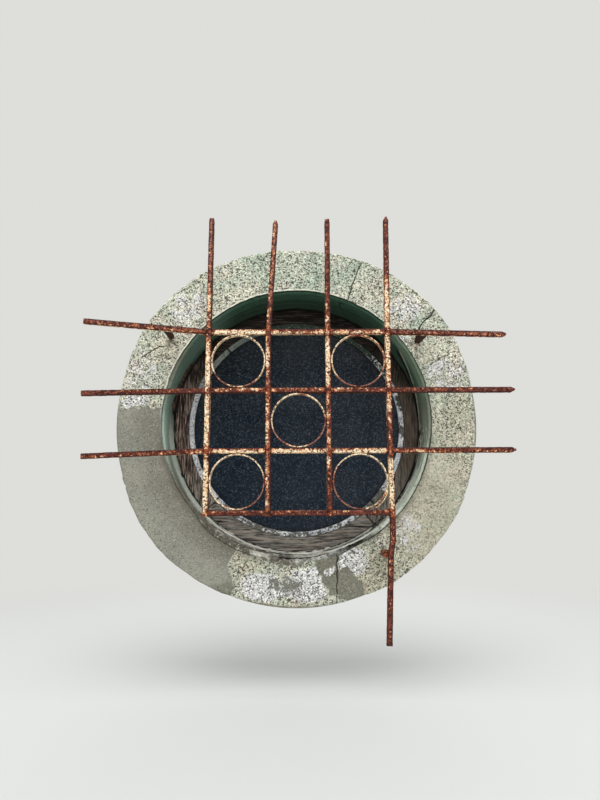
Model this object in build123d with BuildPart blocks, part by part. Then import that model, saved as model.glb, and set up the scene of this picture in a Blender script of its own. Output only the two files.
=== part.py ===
from build123d import *
from math import cos, degrees, radians, sin, sqrt
import os

# A round window: a raised surround on the wall, a lining sleeve through it, a timber
# frame of four segments, a glazed pane under four beads, and a welded grille of square bars.
# Millimetres, +Z up, outside is -Y, origin at the window's centre in the wall plane.

# Surround and lining
ring_outer_r = 400.0
ring_proud = 22.0
ring_edge_bevel = 3.0
bore_r = 291.0
arris_bevel = 6.0
lining_wall = 22.0
collar_width = 7.0
collar_thickness = 6.0
collar_fit = 0.1
reveal_depth = 122.0
shoulder_width = 20.0
shoulder_thickness = 12.0

# Timber frame
frame_width = 45.7
frame_thickness = 46.0
frame_fit = 0.3
frame_joint_angles = (45.0, 138.0, 222.5, 308.0)
frame_joint_gap = 0.4
frame_arris = 1.5
lip_cover = 4.0

# Glazing
bead_width = 11.5
bead_depth = 10.0
bead_gap = 0.5
bead_setback = 2.0
bead_bevel = 3.0
bead_joint_angles = (41.0, 131.0, 222.0, 315.0)
bead_joint_gap = 0.6
glass_thickness = 4.0
glass_clearance = 2.5
bedding_thickness = 2.0
bedding_inset = 1.0

# Hidden fixings
dowel_r = 5.0
dowel_fit = 0.1
dowel_depth = 30.0
dowel_end_gap = 1.0
dowel_edge = 17.0
dowel_setback = 10.5
spike_width = 6.0
spike_point = 14.0
spike_cover = 10.0
spike_head_width = 12.0
spike_head_thickness = 3.0
spike_fit = 0.1
spike_spread_angle = 22.0
spike_from_back = 14.0
sprig_width = 2.0
sprig_length = 26.0
sprig_fit = 0.1
sprig_spread_angle = 25.0

# Grille
bar = 12.0
grille_standoff = 60.0
pitch = 127.0
grid_x = 3.5
grid_z = -10.0
bar_tip = 4.6
strip = 3.0
weld_gap = 0.1
lug_bed = 1.0
lug_fit = 0.1

# Free ends of the bars: sideways bend and reach of each end, as they were left
upright_tops = ((1.5, 439.5), (15.0, 433.5), (1.0, 437.0), (3.5, 442.5))
tail_bend_z = -255.0
tail_kink = (-5.0, -284.0)
tail_end = (-13.0, -460.0)
crossbar_left_ends = ((-455.0, 25.0), (-452.5, -5.0), (-446.0, -10.0))
crossbar_right_ends = ((448.5, -7.0), (460.0, 0.0), (455.0, 0.0))

# Loose end of the strip on the lower right ring
tail_start_angle = -19.0
tail_end_angle = -61.0
tail_lift = 3.5
tail_bite = 0.5

# Lugs: how far each stands back from the opening's edge, and its width at its bar
lug_left_setback = 42.0
lug_right_setback = 34.6
lug_right_flare = 24.0
lug_lower_setback = 53.0
lug_lower_width = 19.0

# Levels along Y, from the outside in
face_y = -ring_proud
lining_front_y = -collar_thickness
frame_front_y = face_y + reveal_depth
frame_back_y = frame_front_y + frame_thickness
lining_end_y = frame_back_y + shoulder_thickness
bead_front_y = frame_front_y + bead_setback
glass_front_y = bead_front_y + bead_depth
glass_back_y = glass_front_y + glass_thickness
lip_front_y = glass_back_y + bedding_thickness
spike_y = frame_back_y - spike_from_back
dowel_y = lip_front_y + dowel_setback
sprig_y = bead_front_y + bead_depth / 2
grille_back_y = face_y - grille_standoff
grille_mid_y = grille_back_y - bar / 2
lug_embed = ring_proud - collar_thickness - lug_bed

# Radii
lining_outer_r = bore_r + lining_wall
collar_r = lining_outer_r + collar_width
shoulder_r = bore_r - shoulder_width
frame_outer_r = bore_r - frame_fit
sight_r = frame_outer_r - frame_width
bead_outer_r = sight_r + bead_width
rebate_r = bead_outer_r + bead_gap
lip_r = sight_r - lip_cover
glass_r = rebate_r - glass_clearance
ring_r = (pitch - bar) / 2 - weld_gap
dowel_centre_r = frame_outer_r - dowel_edge
spike_tip_r = lining_outer_r - spike_cover
sprig_tip_r = sight_r + sprig_length

window_axis = Axis((0, 0, 0), (0, -1, 0))


def radial_plane(angle):
    """Plane through the window's axis: local x runs outward, local y runs inward along +Y."""
    outward = (cos(radians(angle)), 0, sin(radians(angle)))
    return Plane(origin=(0, 0, 0), x_dir=outward, z_dir=(-outward[2], 0, outward[0]))


def wall_plane(y):
    """Upright plane at depth y that faces the outside, local x and y along X and Z."""
    return Plane.XZ.offset(-y)


def gap_angle(gap, radius):
    """Angle that half of a joint's gap takes up at a radius."""
    return degrees(gap / 2 / radius)


def spans(joints):
    """Start and end angle of the right, top, left and bottom segment between four joints."""
    first, second, third, fourth = joints
    return {
        "right": (fourth - 360, first),
        "top": (first, second),
        "left": (second, third),
        "bottom": (third, fourth),
    }


def fixing_angles(joints, spread):
    """Two angles for each segment, either side of its middle."""
    middles = [(start + end) / 2 for start, end in spans(joints).values()]
    return [middle + side for middle in middles for side in (-spread, spread)]


def within(angles, start, end):
    """The angles that lie on a segment, whichever turn they are counted on."""
    return [angle for angle in angles if (angle - start) % 360 < end - start]


def save(part, name):
    """Label a finished piece and write it to its own file."""
    part.label = name
    export_step(part, f"parts/{name}.step")


# Grille layout
columns = [grid_x + (i - 1.5) * pitch for i in range(4)]
rows = [grid_z + (1.5 - i) * pitch for i in range(4)]


def upright_line(i):
    """Centre line of an upright as (x, z) points, from its bottom end to its top."""
    lean, top_z = upright_tops[i]
    if i == 3:
        kink_x, kink_z = tail_kink
        end_x, end_z = tail_end
        bottom = [
            (columns[i] + end_x, end_z),
            (columns[i] + kink_x, kink_z),
            (columns[i], tail_bend_z),
        ]
    else:
        bottom = [(columns[i], rows[3] - bar / 2)]
    return bottom + [(columns[i], rows[0]), (columns[i] + lean, top_z)]


def crossbar_line(i):
    """Centre line of a crossbar as (x, z) points, from left to right."""
    if i == 3:
        return [(columns[0] - bar / 2, rows[i]), (columns[3] + bar / 2, rows[i])]
    left_x, left_rise = crossbar_left_ends[i]
    right_x, right_rise = crossbar_right_ends[i]
    return [
        (left_x, rows[i] + left_rise),
        (columns[0], rows[i]),
        (columns[3], rows[i]),
        (right_x, rows[i] + right_rise),
    ]


def meet(line, axis, value):
    """The other coordinate of a centre line where its x (axis 0) or its z (axis 1) is a value."""
    for start, end in zip(line, line[1:]):
        share = (value - start[axis]) / (end[axis] - start[axis])
        if 0 <= share <= 1:
            return start[1 - axis] + share * (end[1 - axis] - start[1 - axis])
    raise ValueError("the centre line doesn't reach that far")


def bar_outline(line):
    """Outline of a square bar along its centre line, seen from the front."""
    with BuildSketch() as outline:
        with BuildLine():
            Polyline(*line)
        trace(line_width=bar)
    return outline.sketch


def corners_at(sketch, point):
    """The two outline corners at a bar's free end."""
    return [v for v in sketch.vertices() if (Vector(v.X, v.Y) - Vector(*point)).length < bar * 0.6]


# Lugs: centre x and z, width at the bar, width at the surround
lug_left_x = -sqrt((bore_r + lug_left_setback) ** 2 - rows[0] ** 2)
lug_right_x = sqrt((bore_r + lug_right_setback) ** 2 - rows[0] ** 2)
lug_lower_z = -sqrt((bore_r + lug_lower_setback) ** 2 - columns[3] ** 2)
lug_lower_x = meet(upright_line(3), 1, lug_lower_z) - (lug_lower_width - bar) / 2
lugs = {
    "lug_left": (lug_left_x, meet(crossbar_line(0), 0, lug_left_x), bar, bar),
    "lug_right": (lug_right_x, meet(crossbar_line(0), 0, lug_right_x), lug_right_flare, bar),
    "lug_lower": (lug_lower_x, lug_lower_z, lug_lower_width, lug_lower_width),
}

spike_angles = fixing_angles(frame_joint_angles, spike_spread_angle)
sprig_angles = fixing_angles(bead_joint_angles, sprig_spread_angle)


def make_surround():
    """Raised flat ring on the wall, let over the lining's collar, with pockets for the lugs."""
    with BuildPart() as surround:
        with BuildSketch(radial_plane(0)):
            with BuildLine():
                Polyline(
                    (ring_outer_r, 0),
                    (ring_outer_r, face_y + ring_edge_bevel),
                    (ring_outer_r - ring_edge_bevel, face_y),
                    (bore_r + arris_bevel, face_y),
                    (bore_r, face_y + arris_bevel),
                    (bore_r, lining_front_y),
                    (collar_r + collar_fit, lining_front_y),
                    (collar_r + collar_fit, 0),
                    close=True,
                )
            make_face()
        revolve(axis=window_axis)
        for x, z, _, width in lugs.values():
            with BuildSketch(wall_plane(face_y)):
                with Locations((x, z)):
                    Rectangle(width + 2 * lug_fit, bar + 2 * lug_fit)
            extrude(amount=-lug_embed, mode=Mode.SUBTRACT)
    return surround.part


def make_spike(angle, fit):
    """Square cut spike driven outward from the frame's lip, its head let in flush."""
    half = spike_width / 2 + fit
    head_half = spike_head_width / 2 + fit
    tip_r = spike_tip_r + fit
    with BuildPart() as spike:
        with BuildSketch(radial_plane(angle)):
            with BuildLine():
                Polyline(
                    (lip_r, spike_y - half),
                    (tip_r - spike_point, spike_y - half),
                    (tip_r, spike_y),
                    (tip_r - spike_point, spike_y + half),
                    (lip_r, spike_y + half),
                    close=True,
                )
            make_face()
        extrude(amount=half, both=True)
        with BuildSketch(radial_plane(angle)):
            with Locations((lip_r + spike_head_thickness / 2, spike_y)):
                Rectangle(spike_head_thickness, 2 * head_half)
        extrude(amount=head_half, both=True)
    return spike.part


def make_sprig(angle, fit):
    """Fine square sprig from a bead's inner edge into the frame."""
    half = sprig_width / 2 + fit
    length = sprig_tip_r + fit - sight_r
    with BuildPart() as sprig:
        with BuildSketch(radial_plane(angle)):
            with Locations((sight_r + length / 2, sprig_y)):
                Rectangle(length, 2 * half)
        extrude(amount=half, both=True)
    return sprig.part


def make_lining():
    """Sleeve that lines the opening: a collar at the front, and a shoulder where the frame seats."""
    spike_holes = [make_spike(angle, spike_fit) for angle in spike_angles]
    with BuildPart() as lining:
        with BuildSketch(radial_plane(0)):
            with BuildLine():
                Polyline(
                    (lining_outer_r, 0),
                    (collar_r, 0),
                    (collar_r, lining_front_y),
                    (bore_r, lining_front_y),
                    (bore_r, frame_back_y),
                    (shoulder_r, frame_back_y),
                    (shoulder_r, lining_end_y),
                    (lining_outer_r, lining_end_y),
                    close=True,
                )
            make_face()
        revolve(axis=window_axis)
        add(spike_holes, mode=Mode.SUBTRACT)
    return lining.part


def make_frame_segment(start, end):
    """Quarter of the timber frame, with the rebate that holds glass and bead."""
    spike_holes = [make_spike(angle, spike_fit) for angle in within(spike_angles, start, end)]
    sprig_holes = [make_sprig(angle, sprig_fit) for angle in within(sprig_angles, start, end)]
    with BuildPart() as segment:
        trim = gap_angle(frame_joint_gap, frame_outer_r)
        with BuildSketch(radial_plane(start + trim)):
            with BuildLine():
                Polyline(
                    (frame_outer_r, frame_front_y + frame_arris),
                    (frame_outer_r - frame_arris, frame_front_y),
                    (rebate_r + frame_arris, frame_front_y),
                    (rebate_r, frame_front_y + frame_arris),
                    (rebate_r, lip_front_y),
                    (lip_r, lip_front_y),
                    (lip_r, frame_back_y),
                    (frame_outer_r, frame_back_y),
                    close=True,
                )
            make_face()
        revolve(axis=window_axis, revolution_arc=end - start - 2 * trim)
        for angle, depth in ((start, dowel_depth), (end, -dowel_depth)):
            with BuildSketch(radial_plane(angle)):
                with Locations((dowel_centre_r, dowel_y)):
                    Circle(dowel_r + dowel_fit)
            extrude(amount=depth, mode=Mode.SUBTRACT)
        add(spike_holes + sprig_holes, mode=Mode.SUBTRACT)
    return segment.part


def make_bead(start, end):
    """Glazing bead: a flat strip with a bevel toward the glass, nailed to the frame."""
    sprig_holes = [make_sprig(angle, sprig_fit) for angle in within(sprig_angles, start, end)]
    with BuildPart() as bead:
        trim = gap_angle(bead_joint_gap, bead_outer_r)
        with BuildSketch(radial_plane(start + trim)):
            with BuildLine():
                Polyline(
                    (bead_outer_r, glass_front_y),
                    (bead_outer_r, bead_front_y),
                    (sight_r + bead_bevel, bead_front_y),
                    (sight_r, bead_front_y + bead_bevel),
                    (sight_r, glass_front_y),
                    close=True,
                )
            make_face()
        revolve(axis=window_axis, revolution_arc=end - start - 2 * trim)
        add(sprig_holes, mode=Mode.SUBTRACT)
    return bead.part


def make_pane():
    """Round glass pane."""
    with BuildPart() as pane:
        with BuildSketch(wall_plane(glass_back_y)):
            Circle(glass_r)
        extrude(amount=glass_thickness)
    return pane.part


def make_bedding():
    """Thin ring of bedding putty between the glass and the frame's lip."""
    with BuildPart() as bedding:
        with BuildSketch(wall_plane(lip_front_y)):
            Circle(glass_r - bedding_inset)
            Circle(lip_r + bedding_inset, mode=Mode.SUBTRACT)
        extrude(amount=bedding_thickness)
    return bedding.part


def make_dowels():
    """One dowel across each joint of the timber frame."""
    with BuildPart() as dowels:
        for angle in frame_joint_angles:
            with BuildSketch(radial_plane(angle)):
                with Locations((dowel_centre_r, dowel_y)):
                    Circle(dowel_r)
            extrude(amount=dowel_depth - dowel_end_gap, both=True)
    return dowels.part


def make_spikes():
    """Two spikes through each frame segment into the lining."""
    with BuildPart() as spikes:
        add([make_spike(angle, 0) for angle in spike_angles])
    return spikes.part


def make_sprigs():
    """Two fine sprigs through each glazing bead into the frame."""
    with BuildPart() as sprigs:
        add([make_sprig(angle, 0) for angle in sprig_angles])
    return sprigs.part


def make_upright(i):
    """Upright bar, halved at the back where the crossbars pass."""
    line = upright_line(i)
    with BuildPart() as upright:
        with BuildSketch(wall_plane(grille_back_y)) as outline:
            add(bar_outline(line))
            if i == 1:
                fillet(corners_at(outline, line[0]), bar_tip)
            if i == 3:
                chamfer(corners_at(outline, line[0]), bar_tip)
        extrude(amount=bar)
        for k in range(4):
            with BuildSketch(wall_plane(grille_back_y)):
                add(bar_outline(crossbar_line(k)))
            extrude(amount=bar / 2, mode=Mode.SUBTRACT)
    return upright.part


def make_crossbar(i):
    """Crossbar, halved at the front where the uprights pass."""
    line = crossbar_line(i)
    with BuildPart() as crossbar:
        with BuildSketch(wall_plane(grille_back_y)) as outline:
            add(bar_outline(line))
            if i == 0:
                fillet(corners_at(outline, line[-1]), bar_tip)
            if i in (1, 2):
                chamfer(corners_at(outline, line[-1]), bar_tip)
        extrude(amount=bar)
        for k in range(4):
            with BuildSketch(wall_plane(grille_mid_y)):
                add(bar_outline(upright_line(k)))
            extrude(amount=bar / 2, mode=Mode.SUBTRACT)
    return crossbar.part


def polar(centre, radius, angle):
    """Point at a radius and angle from a centre in the grille's plane."""
    return (centre[0] + radius * cos(radians(angle)), centre[1] + radius * sin(radians(angle)))


def make_ring(centre, loose_end):
    """Ring rolled from flat strip, welded between four bars."""
    with BuildPart() as ring:
        with BuildSketch(wall_plane(grille_back_y)):
            with Locations(centre):
                Circle(ring_r)
                Circle(ring_r - strip, mode=Mode.SUBTRACT)
            if loose_end:
                start_r = ring_r + strip / 2 - tail_bite
                end_r = start_r + tail_lift
                middle_r = (start_r + end_r) / 2
                with BuildLine():
                    ThreePointArc(
                        polar(centre, start_r, tail_start_angle),
                        polar(centre, middle_r, (tail_start_angle + tail_end_angle) / 2),
                        polar(centre, end_r, tail_end_angle),
                    )
                trace(line_width=strip)
        extrude(amount=bar)
    return ring.part


def make_lug(x, z, bar_width, foot_width):
    """Lug from the back of a bar to its pocket in the surround."""
    with BuildPart() as lug:
        with BuildSketch(wall_plane(grille_back_y)):
            with Locations((x, z)):
                Rectangle(bar_width, bar)
        with BuildSketch(wall_plane(face_y)):
            with Locations((x, z)):
                Rectangle(foot_width, bar)
        loft()
        with BuildSketch(wall_plane(face_y + lug_embed)):
            with Locations((x, z)):
                Rectangle(foot_width, bar)
        extrude(amount=lug_embed)
    return lug.part


# Rings sit in the corner cells and in the middle cell of the grille
middle_x = [(columns[i] + columns[i + 1]) / 2 for i in range(3)]
middle_z = [(rows[i] + rows[i + 1]) / 2 for i in range(3)]
rings = {
    "ring_upper_left": (middle_x[0], middle_z[0]),
    "ring_upper_right": (middle_x[2], middle_z[0]),
    "ring_centre": (middle_x[1], middle_z[1]),
    "ring_lower_left": (middle_x[0], middle_z[2]),
    "ring_lower_right": (middle_x[2], middle_z[2]),
}

os.makedirs("parts", exist_ok=True)

save(make_surround(), "surround")
save(make_lining(), "lining")
for side, (start, end) in spans(frame_joint_angles).items():
    save(make_frame_segment(start, end), f"frame_{side}")
for side, (start, end) in spans(bead_joint_angles).items():
    save(make_bead(start, end), f"bead_{side}")
save(make_pane(), "pane")
save(make_bedding(), "bedding")
save(make_dowels(), "frame_dowels")
save(make_spikes(), "frame_spikes")
save(make_sprigs(), "bead_sprigs")
for i in range(4):
    save(make_upright(i), f"upright_{i + 1}")
    save(make_crossbar(i), f"crossbar_{i + 1}")
for name, centre in rings.items():
    save(make_ring(centre, name == "ring_lower_right"), name)
for name, lug in lugs.items():
    save(make_lug(*lug), name)
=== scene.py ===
from itertools import product
from math import atan2, cos, degrees, hypot, pi, radians, sin

import bpy
import numpy as np
from mathutils import Matrix, Vector


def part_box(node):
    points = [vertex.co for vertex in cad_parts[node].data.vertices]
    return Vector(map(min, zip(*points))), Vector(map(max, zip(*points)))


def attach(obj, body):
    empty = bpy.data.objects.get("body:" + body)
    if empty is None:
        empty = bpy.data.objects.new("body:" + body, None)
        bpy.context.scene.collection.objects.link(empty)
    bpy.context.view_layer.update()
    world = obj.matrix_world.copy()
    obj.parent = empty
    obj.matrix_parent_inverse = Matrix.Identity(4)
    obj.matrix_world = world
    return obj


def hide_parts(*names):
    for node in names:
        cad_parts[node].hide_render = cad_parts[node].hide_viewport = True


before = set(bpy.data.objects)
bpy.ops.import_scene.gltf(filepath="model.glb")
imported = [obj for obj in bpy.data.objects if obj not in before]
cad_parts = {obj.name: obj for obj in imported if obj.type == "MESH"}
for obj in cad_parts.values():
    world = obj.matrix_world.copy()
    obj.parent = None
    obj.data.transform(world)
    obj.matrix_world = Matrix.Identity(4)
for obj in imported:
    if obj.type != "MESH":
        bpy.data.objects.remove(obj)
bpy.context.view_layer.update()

# A weathered round window: a rendered surround and painted lining, a timber frame with flaking
# beads, a dark pane, and a rusted grille. Shapes are worked out in millimetres; +Z is up and
# the outside is -Y.
MM = 0.001
ROOT = "root"
# In millimetres: how close two sizes count as the same, a distance beyond any that shows, and
# how far the distances kept for cracks and for repairs reach
SAME = 0.01
FAR = 99.0
CRACK_REACH = 12.0
REPAIR_REACH = 40.0
# Rows of points round the turned pieces, then rows to a degree on the curved segments
SURROUND_ROWS = 1040
LINING_ROWS = 960
PANE_ROWS = 240
FRAME_ROWS = 3.6
BEAD_ROWS = 3.4


# Sizes read from the frame
def corners_of(node):
    """Vertices of a node at rest, in millimetres."""
    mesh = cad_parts[node].data
    points = np.empty(len(mesh.vertices) * 3)
    mesh.vertices.foreach_get("co", points)
    return points.reshape(-1, 3) / MM


def turned(node):
    """Radius and depth of each vertex of a turned node."""
    points = corners_of(node)
    return np.hypot(points[:, 0], points[:, 2]), points[:, 1]


def middle(node):
    """Centre of a node's box seen from the front, as x and z in millimetres."""
    low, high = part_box(node)
    return (low.x + high.x) / 2 / MM, (low.z + high.z) / 2 / MM


def angle_span(node):
    """First and last angle of a curved segment, in degrees."""
    points = corners_of(node)
    centre = points.mean(0)
    facing = atan2(centre[2], centre[0])
    angles = np.arctan2(points[:, 2], points[:, 0]) - facing
    angles = degrees(facing) + np.degrees((angles + pi) % (2 * pi) - pi)
    return angles.min(), angles.max()


surround_r, surround_y = turned("surround")
face_y = surround_y.min()
back_y = surround_y.max()
outer_r = surround_r.max()
bore_r = surround_r.min()
on_face = surround_y < face_y + SAME
arris_r = surround_r[on_face].min()
rim_bevel = outer_r - surround_r[on_face].max()
arris_bevel = arris_r - bore_r

lining_r, lining_y = turned("lining")
collar_r = lining_r.max()
collar_y = lining_y.min()
lining_end_y = lining_y.max()
shoulder_r = lining_r.min()
shoulder_y = lining_y[lining_r < shoulder_r + SAME].min()
sleeve_r = lining_r[lining_y > lining_end_y - SAME].max()

wood_r, wood_y = turned("frame_top")
wood_front_y, wood_back_y = wood_y.min(), wood_y.max()
wood_outer_r, lip_r = wood_r.max(), wood_r.min()
lip_y = wood_y[wood_r < lip_r + SAME].min()
rebate_r = wood_r[abs(wood_y - lip_y) < SAME].max()
wood_arris = wood_outer_r - wood_r[wood_y < wood_front_y + SAME].max()

bead_r, bead_y = turned("bead_top")
bead_front_y, bead_back_y = bead_y.min(), bead_y.max()
bead_outer_r, sight_r = bead_r.max(), bead_r.min()
bead_bevel = bead_r[bead_y < bead_front_y + SAME].min() - sight_r

pane_radii, pane_y = turned("pane")
pane_r = pane_radii.max()
pane_front_y, pane_back_y = pane_y.min(), pane_y.max()

grille_front_y, grille_back_y = (corner.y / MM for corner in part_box("upright_1"))
grille_mid_y = (grille_front_y + grille_back_y) / 2
bar = grille_back_y - grille_front_y

grid_x, grid_z = middle("ring_centre")
pitch = (middle("ring_upper_right")[0] - middle("ring_upper_left")[0]) / 2
columns = [grid_x + (i - 1.5) * pitch for i in range(4)]
rows = [grid_z + (1.5 - i) * pitch for i in range(4)]


# Smooth, repeatable noise
def lattice(cell, seed):
    """Repeatable value from 0 to 1 for each whole-number cell."""
    mixed = cell[..., 0] * 73856093 ^ cell[..., 1] * 19349663 ^ cell[..., 2] * 83492791
    mixed = (mixed + seed * 69069) * 1274126177
    mixed = (mixed ^ (mixed >> 15)) * 668265263
    return ((mixed ^ (mixed >> 13)) & 0xFFFF) / 0xFFFF


def noise(points, size, seed, octaves=1):
    """Noise about 0 at points in millimetres, with bumps of the given size. The first octave
    runs from -1 to 1, and each further one is half as strong."""
    total, weight = 0.0, 1.0
    for octave in range(octaves):
        place = points / np.array(size) * 2**octave
        cell = np.floor(place).astype(np.int64)
        part = place - cell
        part = part * part * (3 - 2 * part)
        value = 0.0
        for corner in product((0, 1), repeat=3):
            share = np.prod(np.where(corner, part, 1 - part), axis=-1)
            value = value + share * lattice(cell + np.array(corner), seed + octave)
        total = total + weight * (2 * value - 1)
        weight /= 2
    return total


def ease(value, low, high):
    """0 below low, 1 above high, smooth between; low may be above high."""
    part = np.clip((value - low) / (high - low), 0, 1)
    return part * part * (3 - 2 * part)


# Measures on the window's face, seen from the front
def from_line(path, x, z):
    """Distance to a broken line in millimetres, below zero on its right-hand side."""
    best = np.full(x.shape, np.inf)
    side = np.ones(x.shape)
    for (ax, az), (bx, bz) in zip(path, path[1:]):
        dx, dz = bx - ax, bz - az
        along = np.clip(((x - ax) * dx + (z - az) * dz) / (dx * dx + dz * dz), 0, 1)
        gap = np.hypot(x - ax - along * dx, z - az - along * dz)
        nearer = gap < best
        best = np.where(nearer, gap, best)
        side = np.where(nearer, np.sign(dx * (z - az) - dz * (x - ax)), side)
    return best * side


def inside(corners, x, z):
    """Distance to the outline of a patch in millimetres, above zero inside it."""
    hit = np.zeros(x.shape, bool)
    for (ax, az), (bx, bz) in zip(corners, corners[1:] + corners[:1]):
        crosses = (az > z) != (bz > z)
        edge = ax + (bx - ax) * (z - az) / (bz - az if bz != az else 1)
        hit ^= crosses & (x < edge)
    gap = abs(from_line(corners + corners[:1], x, z))
    return np.where(hit, gap, -gap)


def spots(marks, x, z):
    """Soft spots, each given by centre x and z, half width, half height and strength."""
    total = np.zeros(x.shape)
    for mx, mz, wide, tall, strength in marks:
        reach = np.hypot((x - mx) / wide, (z - mz) / tall)
        total = np.maximum(total, strength * ease(reach, 1.35, 0.65))
    return total


def turned_from(heading, x, z):
    """Turn from a heading in degrees to each point, from -180 to 180."""
    return (np.degrees(np.arctan2(z, x)) - heading + 180) % 360 - 180


def arcs(marks, x, z):
    """Greatest of soft arcs, each given by its heading and reach in degrees and its strength."""
    total = np.zeros(x.shape)
    for heading, reach, strength in marks:
        beside = ease(abs(turned_from(heading, x, z)), reach, 0.4 * reach)
        total = np.maximum(total, strength * beside)
    return total


def on_bore(path, x, z):
    """A path of headings and depths laid flat in millimetres, with each point's place along it."""
    centre = path[0][0]
    flat = [(bore_r * radians(heading - centre), depth) for heading, depth in path]
    return flat, bore_r * np.radians(turned_from(centre, x, z))


# Meshes
def skin(name, points, closed=False, smooth_angle=40, **fields):
    """Mesh over a grid of points in millimetres. Each row is a closed loop; the rows close on
    themselves too, or end in flat caps. Fields are values kept at the vertices."""
    count, around = points.shape[:2]
    index = np.arange(count * around).reshape(count, around)
    lower = index if closed else index[:-1]
    upper = np.roll(index, -1, 0) if closed else index[1:]
    quads = np.stack([lower, upper, np.roll(upper, -1, 1), np.roll(lower, -1, 1)], -1)
    faces = quads.reshape(-1, 4).tolist()
    if not closed:
        faces += [index[0].tolist(), index[-1][::-1].tolist()]
    mesh = bpy.data.meshes.new(name)
    mesh.from_pydata((points.reshape(-1, 3) * MM).tolist(), [], faces)
    a, b, c, d = (points.reshape(-1, 3)[quads[..., k].ravel()] for k in range(4))
    volume = (np.cross(b, c) * a).sum() + (np.cross(c, d) * a).sum()
    if volume < 0:
        mesh.flip_normals()
    mesh.set_sharp_from_angle(angle=radians(smooth_angle))
    for field, values in fields.items():
        mesh.attributes.new(field, "FLOAT", "POINT")
        mesh.attributes[field].data.foreach_set("value", values.ravel().astype(np.float32))
    return mesh


def place(name, mesh, finish, slot, *nodes):
    """Puts a piece on the window, with its finish, in place of the nodes it stands for."""
    piece = bpy.data.objects.new(name, mesh)
    bpy.context.scene.collection.objects.link(piece)
    mesh.materials.append(finish)
    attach(piece, ROOT)
    if nodes:
        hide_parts(*nodes)


def outline(corners):
    """Closed outline through (first, second, step) corners, evenly spaced along each edge,
    with the direction that points away from it at each point."""
    points = []
    for (a, b, step), (c, d, _) in zip(corners, corners[1:] + corners[:1]):
        count = max(1, round(hypot(c - a, d - b) / step))
        points += [(a + (c - a) * k / count, b + (d - b) * k / count) for k in range(count)]
    points = np.array(points)
    following = np.roll(points, -1, 0)
    ahead = following - points
    ahead /= np.linalg.norm(ahead, axis=1)[:, None]
    along = ahead + np.roll(ahead, 1, 0)
    along /= np.linalg.norm(along, axis=1)[:, None]
    away = np.stack([along[:, 1], -along[:, 0]], 1)
    area = (points[:, 0] * following[:, 1] - following[:, 0] * points[:, 1]).sum()
    return points, away if area > 0 else -away


def turn(section, away, angles):
    """Points and outward directions of a section of radii and depths turned through angles."""
    across = np.stack([np.cos(angles), np.zeros(len(angles)), np.sin(angles)], 1)[:, None]
    depth = np.array([0.0, 1.0, 0.0])
    points = section[None, :, :1] * across + section[None, :, 1:] * depth
    normals = away[None, :, :1] * across + away[None, :, 1:] * depth
    return points, normals


# Finishes
def tone(red, green, blue):
    """Colour as a picture shows it, 0 to 255, for a shader socket."""
    shares = [c / 255 for c in (red, green, blue)]
    return (*(c / 12.92 if c < 0.04045 else ((c + 0.055) / 1.055) ** 2.4 for c in shares), 1)


class Signal:
    """A value or colour on its way through the nodes; arithmetic on values adds Math nodes."""

    def __init__(self, nodes, socket):
        self.nodes = nodes
        self.socket = socket

    def math(self, operation, first, second):
        return self.nodes.node("ShaderNodeMath", {"operation": operation}, {0: first, 1: second})

    def __add__(self, other):
        return self.math("ADD", self, other)

    def __radd__(self, other):
        return self.math("ADD", other, self)

    def __sub__(self, other):
        return self.math("SUBTRACT", self, other)

    def __rsub__(self, other):
        return self.math("SUBTRACT", other, self)

    def __mul__(self, other):
        return self.math("MULTIPLY", self, other)

    def __rmul__(self, other):
        return self.math("MULTIPLY", other, self)

    def __abs__(self):
        return self.math("ABSOLUTE", self, 0.0)

    def between(self, low, high):
        """0 at low, 1 at high, smooth between; low may be above high."""
        ends = {"Value": self, "From Min": low, "From Max": high}
        return self.nodes.node("ShaderNodeMapRange", {"interpolation_type": "SMOOTHSTEP"}, ends)

    def most(self, other):
        return self.math("MAXIMUM", self, other)


class Nodes:
    """The nodes of a finish or of the sky."""

    def __init__(self, tree):
        self.tree = tree

    def node(self, kind, settings=None, inputs=None, output=0):
        """Adds a node: its settings first, then the values or links of its sockets."""
        node = self.tree.nodes.new(kind)
        for key, value in (settings or {}).items():
            setattr(node, key, value)
        for key, value in (inputs or {}).items():
            if isinstance(value, Signal):
                self.tree.links.new(value.socket, node.inputs[key])
            else:
                node.inputs[key].default_value = value
        return Signal(self, node.outputs[output])

    def mix(self, share, first, second, blend="MIX"):
        """Colour between first and second."""
        kind = {"data_type": "RGBA", "blend_type": blend}
        return self.node("ShaderNodeMix", kind, {0: share, 6: first, 7: second}, 2)


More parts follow.
